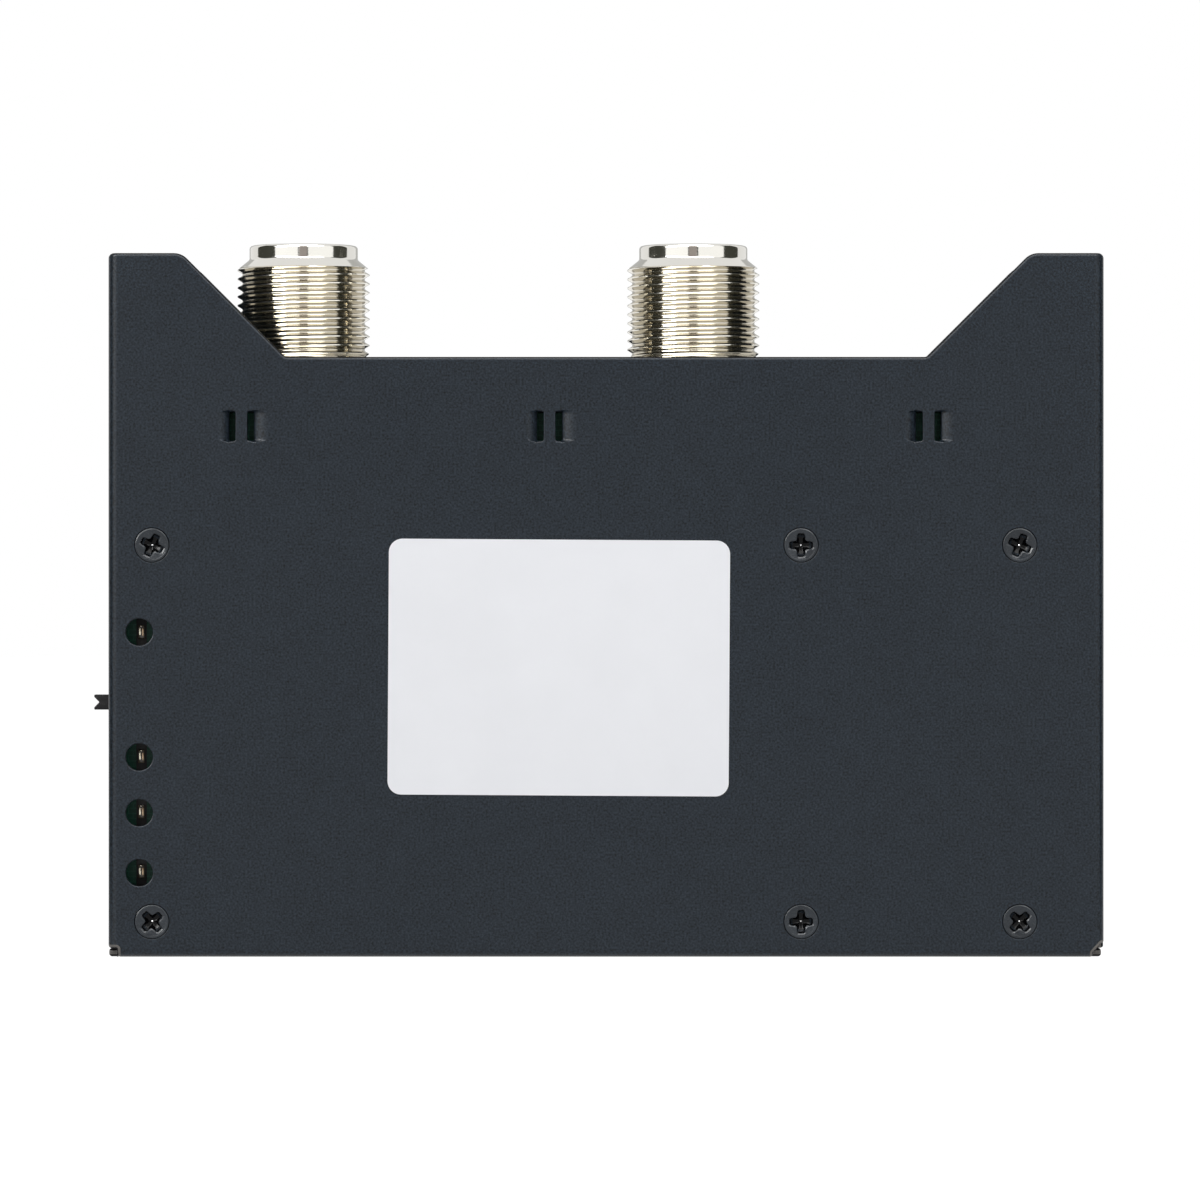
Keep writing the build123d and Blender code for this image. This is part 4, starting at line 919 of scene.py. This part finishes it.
(_, _, foot), (_, _, top) = node_box("jack_washers")
TEETH = 10
angle = np.linspace(0, 2 * np.pi, 200, endpoint=False)
inner = 8.1 + 0.9 * (np.cos(TEETH * angle) > 0)
outer = np.full(len(angle), 9.6)
washer_r = [inner, outer - 0.05, outer, outer, outer - 0.05, inner]
washer_z = [foot, foot, foot + 0.05, top - 0.05, top, top]
nut_parts, washer_parts = [], []
for x in port_x.values():
    nut_parts.append(turned(*nut_rows(19.0, top, NUT_TOP, 7.98), centre=(x, 0, 0), wrap=True))
    washer_parts.append(turned(washer_r, washer_z, centre=(x, 0, 0), wrap=True))
new_piece("jack_hex_nuts", nut_parts, "case", "nickel", ["jack_nuts"], smooth_deg=25)
new_piece("jack_tooth_washers", washer_parts, "case", "nickel", ["jack_washers"], smooth_deg=25)


# %% [markdown]
# ## Cross-head screws
# The black screws sit flush in their countersinks. Seen along its axis, a cross recess is four
# short arms with rounded inner corners. The distance of an arm's outline from the centre is
# 1 / ((cos t / L)^6 + (|sin t| / w)^6)^(1/6), with t the angle to the arm, L its length and w half
# its width; a circle of 1.72 w blended over it rounds the inner corners. A narrow shelf slopes in
# from the face and the walls lean inwards. Below the shelf the recess is painted near black, a
# painted shade, and the pit at its bottom is a bright metal that gives a painted highlight. Every
# screw is turned by hand, so each cross has its own angle.

# %% Screws
def recess_radius(angle, length, half_width):
    """Outline of the cross: a square-ended bar along the nearest of four arms, over a round core."""
    t = (angle + np.pi / 4) % (np.pi / 2) - np.pi / 4
    arm = ((np.cos(t) / length) ** 6 + (np.abs(np.sin(t)) / half_width) ** 6) ** (-1 / 6)
    return (arm ** 8 + (1.72 * half_width) ** 8) ** (1 / 8)


def screw(turn_deg, length, along, centre, count=144):
    """Rows from the tip up the shank and cone, over the rim and face, down the recess to its pit."""
    angle = np.linspace(0, 2 * np.pi, count, endpoint=False) - np.radians(turn_deg)
    ring = np.ones(count)
    outside = [(0, -length), (0.75, -length), (1.0, -length + 0.3), (1.0, -1.05), (1.90, -0.20),
               (1.98, -0.08), (1.995, -0.04), (1.98, -0.01), (1.85, 0.045), (1.80, 0.05), (1.75, 0.035),
               (1.66, 0.0)]
    wide = recess_radius(angle, 1.57, 0.56)
    deep = recess_radius(angle, 1.15, 0.38)
    inside = [(wide + 0.04, 0.0), (wide, -0.012), (recess_radius(angle, 1.40, 0.46), -0.12),
              (recess_radius(angle, 1.34, 0.44), -0.5), (deep, -0.95), (deep * 0.6, -1.2),
              (ring * 0.22, -1.28)]
    pit = [(0.22, -1.28), (0.19, -1.18), (0.12, -1.10), (0.05, -1.07), (0, -1.065)]
    rows = [(r * ring, z * ring) for r, z in outside + inside + pit]
    radius, height = (np.array(part) for part in zip(*rows))
    points, faces = turned(radius, height - 0.05, along=along, centre=centre)
    # Face and shelf take black oxide (0), the recess below the painted shade (1), the pit the painted
    # highlight (2).
    shelf, floor = len(outside) + 2, len(outside) + len(inside) - 1
    spans = ((0, shelf, 0), (shelf, floor, 1), (floor + 1, len(rows) - 1, 2))
    return [(points[a:b + 1], grid_faces(b + 1 - a, count), finish) for a, b, finish in spans]


case_turns = (64.0, 42.0, 90.0, 90.0, 66.0, 45.0)
side_turns = (17.0, 40.0, 63.0, 86.0)
screw_finishes = [FINISHES["screw_black"], recess_painted_shade, pit_glint]
parts = sum((screw(turn, 5.1, (0, 1, 0), (x, REAR, z)) for turn, (x, z) in zip(case_turns, SCREWS)), [])
new_piece("case_cross_screws", parts, "case", "screw_black", ["case_screws"], screw_finishes, smooth_deg=30)
parts = sum((screw(turn, 3.5, (side, 0, 0), (side * HALF_WIDTH, SIDE_SCREW_Y, z))
             for turn, (side, z) in zip(side_turns, SIDE_SCREWS)), [])
new_piece("side_cross_screws", parts, "case", "screw_black", ["side_screws"], screw_finishes, smooth_deg=30)


# %% [markdown]
# ## Status lamps behind the round windows
# Each window looks onto the board, where a small surface-mount lamp sits on a black strip: a
# clear body over a gold strip, a second strip of the same gold painted darker beside it, a painted
# shade, and a small end cap. A rounded block is a sphere's grid pushed outwards: each point of the
# unit sphere moves by the block's half size, less the corner radius, in the direction of its own signs.

# %% Rounded blocks
def rounded_block(low, high, radius, steps=3):
    """Sphere points of a corner radius, moved by sign * (half size - radius), so flats join the eighths."""
    low, high = np.array(low, float), np.array(high, float)
    quarter = np.linspace(0, np.pi / 2, steps + 1)
    turn = np.concatenate([quarter + k * np.pi / 2 for k in range(4)])[None]
    tilt = np.concatenate([quarter - np.pi / 2, quarter])[:, None]
    quadrant = np.repeat([[1, -1, -1, 1], [1, 1, -1, -1]], steps + 1, axis=1)[:, None]
    half = np.repeat([-1, 1], steps + 1)[:, None]
    level = np.cos(tilt)
    normal = np.stack(np.broadcast_arrays(level * np.cos(turn), level * np.sin(turn), np.sin(tilt)), -1)
    sign = np.stack(np.broadcast_arrays(*quadrant, half), -1)
    points = (low + high) / 2 + sign * ((high - low) / 2 - radius) + radius * normal
    lids = [(cap, [list(range(turn.size))]) for cap in (points[0], points[-1])]
    return [(points, grid_faces(*points.shape[:2]))] + lids


# Finish 0 is the gold cup; finish 1 is the same cup painted darker, a painted shade.
LAMP_BLOCKS = (  # two corners (x, z) from the lamp's middle, depth below its face, radius, finish
    ((0.03, -0.42), (0.29, 0.46), 0, 0.05, 0),
    ((-0.31, -0.50), (-0.05, 0.44), 0.01, 0.05, 1),
    ((-0.12, 0.60), (0.16, 0.76), 0.03, 0.06, 0),
)
(_, lamp_foot, _), (_, lamp_face, _) = node_box("status_leds")
lens_parts, metal_parts = [], []
for z in LED_ROWS:
    low, high = (LED_X - 0.4, lamp_foot, z - 0.8), (LED_X + 0.4, lamp_face - 0.1, z + 0.8)
    lens_parts += rounded_block(low, high, 0.06)
    for (x0, z0), (x1, z1), below, radius, finish in LAMP_BLOCKS:
        low, high = (LED_X + x0, lamp_face - 0.2, z + z0), (LED_X + x1, lamp_face - below, z + z1)
        metal_parts += [(*part, finish) for part in rounded_block(low, high, radius)]
new_piece("lamp_lenses", lens_parts, "case", "led_lens", ["status_leds"])
new_piece("lamp_cups", metal_parts, "case", "contact_gold", finishes=[led_cup, led_cup_painted_shade])
board_face = node_box("main_board")[1][1]
strip = rounded_block((LED_X - 0.62, board_face - 0.02, 4.5), (LED_X + 0.62, board_face + 0.04, 44.0), 0.02)
new_piece("lamp_dark_strip", strip, "case", "board_green", finishes=[mark_black])


# %% [markdown]
# ## Switch knob
# The knob of the power switch stands out of the side with a notch across its end for a
# fingernail. Its side view is an outline and its width a thickness, so it is cut like a small
# plate whose edges are rounded by the same edge profile as the sheet's.

# %% Power knob
knob_low, knob_high = node_box("power_knob")
knob_z = (knob_low + knob_high)[2] / 2 - 0.1
knob_y = (knob_low + knob_high)[1] / 2
LEVER_WIDE = 1.5
lever_x, tip = knob_low[0] + 1.2, knob_high[0] - 0.15
lever = rounded_loop([(lever_x, -0.9), (tip, -0.9), (tip, -0.62), (tip - 0.6, 0), (tip, 0.62), (tip, 0.9),
                      (lever_x, 0.9)], [0.02, 0.1, 0.05, 0.06, 0.05, 0.1, 0.02], 4) + [0, knob_z]
knob_parts = []
for points, faces in blank([(lever, round_edge(0.08, LEVER_WIDE))], LEVER_WIDE):
    u, v, w = np.moveaxis(points, -1, 0)
    knob_parts.append((np.stack([u, knob_y + LEVER_WIDE / 2 - w, v], -1), faces))
knob_parts += rounded_block(knob_low, (knob_low[0] + 1.6, *knob_high[1:]), 0.1)
new_piece("power_knob_lever", knob_parts, "power_knob", "knob_black", ["power_knob"], smooth_deg=40)


# %% [markdown]
# ## Side keys
# Three round keys stand in holes of the side wall, each on a stem in its switch. They are turned
# parts with a softly rounded face that is slightly dished for the fingertip.

# %% Keys
STEM = np.array([(0, 0), (0.95, 0), (1.1, 0.12)])
HEAD = np.array([(1.1, -1.05), (1.6, -1.05), (1.7, -0.95), (1.7, -0.32), (1.66, -0.17), (1.55, -0.06),
                 (1.38, 0), (1.15, -0.02), (0.7, -0.09), (0, -0.12)])
for key in ("left_key", "enter_key", "right_key"):
    low, high = node_box(key)
    y, z = (low + high)[1:] / 2
    radius, height = np.vstack([STEM, HEAD + [0, high[0] - low[0]]]).T
    new_piece(key + "_cap", [turned(radius, height, 64, (1, 0, 0), (low[0], y, z))], key, "knob_black", [key])

# %% [markdown]
# ## Floor, light and camera
# A plain pale floor and a plain white surround. The surround is white to the camera and to
# mirror-like rays, and weaker as a lamp, so colours come out about as they are written. The
# floor adds the object's shadow to that white.

# %% Surround
scene = bpy.context.scene
scene.view_settings.view_transform = "Standard"
world = bpy.data.worlds.new("studio")
scene.world = world
world.use_nodes = True
AMBIENT = 0.24


def seen_directly(tree):
    """1 for camera, mirror-like and see-through rays, 0 for light that is gathered from all round."""
    rays = add(tree, "LightPath")
    seen = rays["Is Camera Ray"]
    for name in ("Is Glossy Ray", "Is Transmission Ray"):
        seen = add(tree, "Math", {0: seen, 1: rays[name]}, operation="MAXIMUM")[0]
    return seen


tree = world.node_tree
background = tree.nodes["Background"].inputs
background["Color"].default_value = (1, 1, 1, 1)
strength = add(tree, "MapRange", {"Value": seen_directly(tree), "To Min": AMBIENT, "To Max": 1.0})["Result"]
tree.links.new(strength, background["Strength"])
print("surround at", AMBIENT, "as a lamp")


# %% Floor
def flat_card(name, corners, finish):
    """A four-cornered card of the set, not part of the object."""
    mesh = bpy.data.meshes.new(name)
    mesh.from_pydata(corners, [], [(0, 1, 2, 3)])
    mesh.materials.append(finish)
    card = bpy.data.objects.new(name, mesh)
    scene.collection.objects.link(card)
    card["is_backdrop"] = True
    return card


def set_finish(name, surface):
    """A finish of the set, whose surface is what a function adds to its node tree."""
    finish = bpy.data.materials.new(name)
    finish.use_nodes = True
    tree = finish.node_tree
    tree.nodes.remove(tree.nodes["Principled BSDF"])
    tree.links.new(surface(tree), tree.nodes["Material Output"].inputs["Surface"])
    return finish


def floor_surface(tree):
    """Matt white, with a glow mixed in where it is seen directly."""
    matt = add(tree, "BsdfDiffuse", {"Color": (0.86, 0.86, 0.86, 1)})["BSDF"]
    glow = add(tree, "Emission", {"Color": (1, 1, 1, 1), "Strength": 1.33})["Emission"]
    share = add(tree, "MapRange", {"Value": seen_directly(tree), "To Max": 0.72})["Result"]
    return add(tree, "MixShader", {"Fac": share, 1: matt, 2: glow})["Shader"]


FLOOR_Z = -0.02 * MM
flat_card("floor", [(-4, -4, FLOOR_Z), (4, -4, FLOOR_Z), (4, 4, FLOOR_Z), (-4, 4, FLOOR_Z)],
          set_finish("floor_white", floor_surface))
print("floor at", FLOOR_Z / MM, "mm")

# %% [markdown]
# ### What the bright metal mirrors
# Nickel has hardly any colour of its own: it shows what stands round it. Cards that only
# mirror-like rays meet give the ports their dark bands, the brown one where a viewer would
# stand, and a grey rim against the white. A lamp's light adds to whatever is seen behind it,
# so a black card stands behind each of the two big lamps.

# %% Cards that only mirror-like rays meet
def glow_card_finish(name, colour):
    """A plain glow, so the card's tone doesn't depend on the lamps."""
    return set_finish(name, lambda tree: add(tree, "Emission", {"Color": (*colour, 1)})["Emission"])


def mirror_card(name, corners, finish):
    """A card that only mirror-like rays meet."""
    card = flat_card(name, corners, finish)
    for rays in ("camera", "diffuse", "shadow", "transmission"):
        setattr(card, "visible_" + rays, False)


def upright_card(name, from_deg, to_deg, distance, finish, low=0.0, high=0.9):
    """A card round the object between two bearings, measured from +Y towards +X."""
    a, b = (distance * np.array([np.sin(t), np.cos(t)]) for t in np.radians([from_deg, to_deg]))
    mirror_card(name, [(*a, low), (*b, low), (*b, high), (*a, high)], finish)


def lying_card(name, from_deg, to_deg, near, far, finish):
    """A card on the floor between two bearings and two distances."""
    a, b = (np.array([np.sin(t), np.cos(t)]) for t in np.radians([from_deg, to_deg]))
    corners = [(*(way * distance), MM) for way, distance in ((a, near), (b, near), (b, far), (a, far))]
    mirror_card(name, corners, finish)


card_black = glow_card_finish("card_black", (0.060, 0.061, 0.050))
card_grey = glow_card_finish("card_grey", (0.55, 0.55, 0.54))
card_brown = glow_card_finish("card_brown", (0.405, 0.365, 0.345))
upright_card("dark_card_left", 62, 111, 0.9, card_black)
upright_card("dark_card_right", -70, -109, 0.9, card_black)
upright_card("middle_card", 9.2, -7.4, 0.9, card_brown, 0.0, 1.2)
upright_card("softbox_back_left", 9.2, 66, 1.6, card_black, 0.0, 1.3)
upright_card("softbox_back_right", -7.4, -74, 1.7, card_black, 0.0, 1.3)
lying_card("dark_floor_left", 62, 111, 0.12, 0.9, card_black)
lying_card("dark_floor_right", -70, -109, 0.12, 0.9, card_black)
upright_card("grey_backdrop", 152, 208, 0.9, card_grey)

# %% [markdown]
# ### Lamps
# Two broad soft lamps stand left and right of the viewer and a long one above. A wide lamp high
# up and a small strong one on the left only meet mirror-like rays: they put the thin light lines
# on rounded edges and the soft gleam on the pressed ramps, without changing the even light. Two
# more light the side with the screen, and no mirror-like ray meets them.

# %% Lamps
def soft_lamp(name, bearing_deg, distance, middle_z, size, radiance, aim_z=0.06):
    """A rectangular lamp at a bearing from +Y towards +X, facing the object: power = pi * area * radiance."""
    t = np.radians(bearing_deg)
    data = bpy.data.lights.new(name, "AREA")
    data.shape = "RECTANGLE"
    data.size, data.size_y = size
    data.energy = np.pi * size[0] * size[1] * radiance
    lamp = bpy.data.objects.new(name, data)
    scene.collection.objects.link(lamp)
    lamp.location = (distance * np.sin(t), distance * np.cos(t), middle_z)
    lamp.rotation_euler = (Vector((0, 0, aim_z)) - lamp.location).to_track_quat("-Z", "Y").to_euler()
    lamp.visible_camera = False
    return lamp


soft_lamp("left_softbox", 36.5, 1.0, 0.42, (1.03, 0.84), 1.285)
soft_lamp("right_softbox", -38.8, 1.0, 0.42, (1.20, 0.84), 1.22)
soft_lamp("top_softbox", 0, 0.55, 1.0, (0.9, 0.28), 4.8)
soft_lamp("edge_lamp", 0, 0.75, 0.85, (1.5, 0.75), 4.5).visible_diffuse = False
soft_lamp("key_lamp", 50, 1.1, 0.50, (0.55, 0.36), 18.0).visible_diffuse = False
for name, bearing in (("front_softbox_left", 215), ("front_softbox_right", 145)):
    soft_lamp(name, bearing, 1.0, 0.5, (0.7, 0.7), 1.2).visible_glossy = False
print(len(bpy.data.lights), "lamps")

# %% [markdown]
# ## Camera
# The back is seen square on from about three quarters of a metre, with a long lens, so the two
# ears show almost no perspective. The lens follows from the scale on the back panel.

# %% Camera
DISTANCE = 770.0
PIXELS_PER_MM = 8.445
FRAME_PIXELS = 1200
SENSOR = 36.0
EYE_X, EYE_Z = 0.72, 42.3
camera_data = bpy.data.cameras.new("camera")
camera_data.sensor_width = SENSOR
camera_data.lens = PIXELS_PER_MM * DISTANCE / FRAME_PIXELS * SENSOR
camera_data.clip_end = 20
camera = bpy.data.objects.new("camera", camera_data)
scene.collection.objects.link(camera)
camera.location = (EYE_X * MM, (REAR + DISTANCE) * MM, EYE_Z * MM)
camera.rotation_euler = (np.pi / 2, 0, np.pi)
scene.camera = camera
print("lens", round(camera_data.lens, 1), "mm")

low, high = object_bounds()
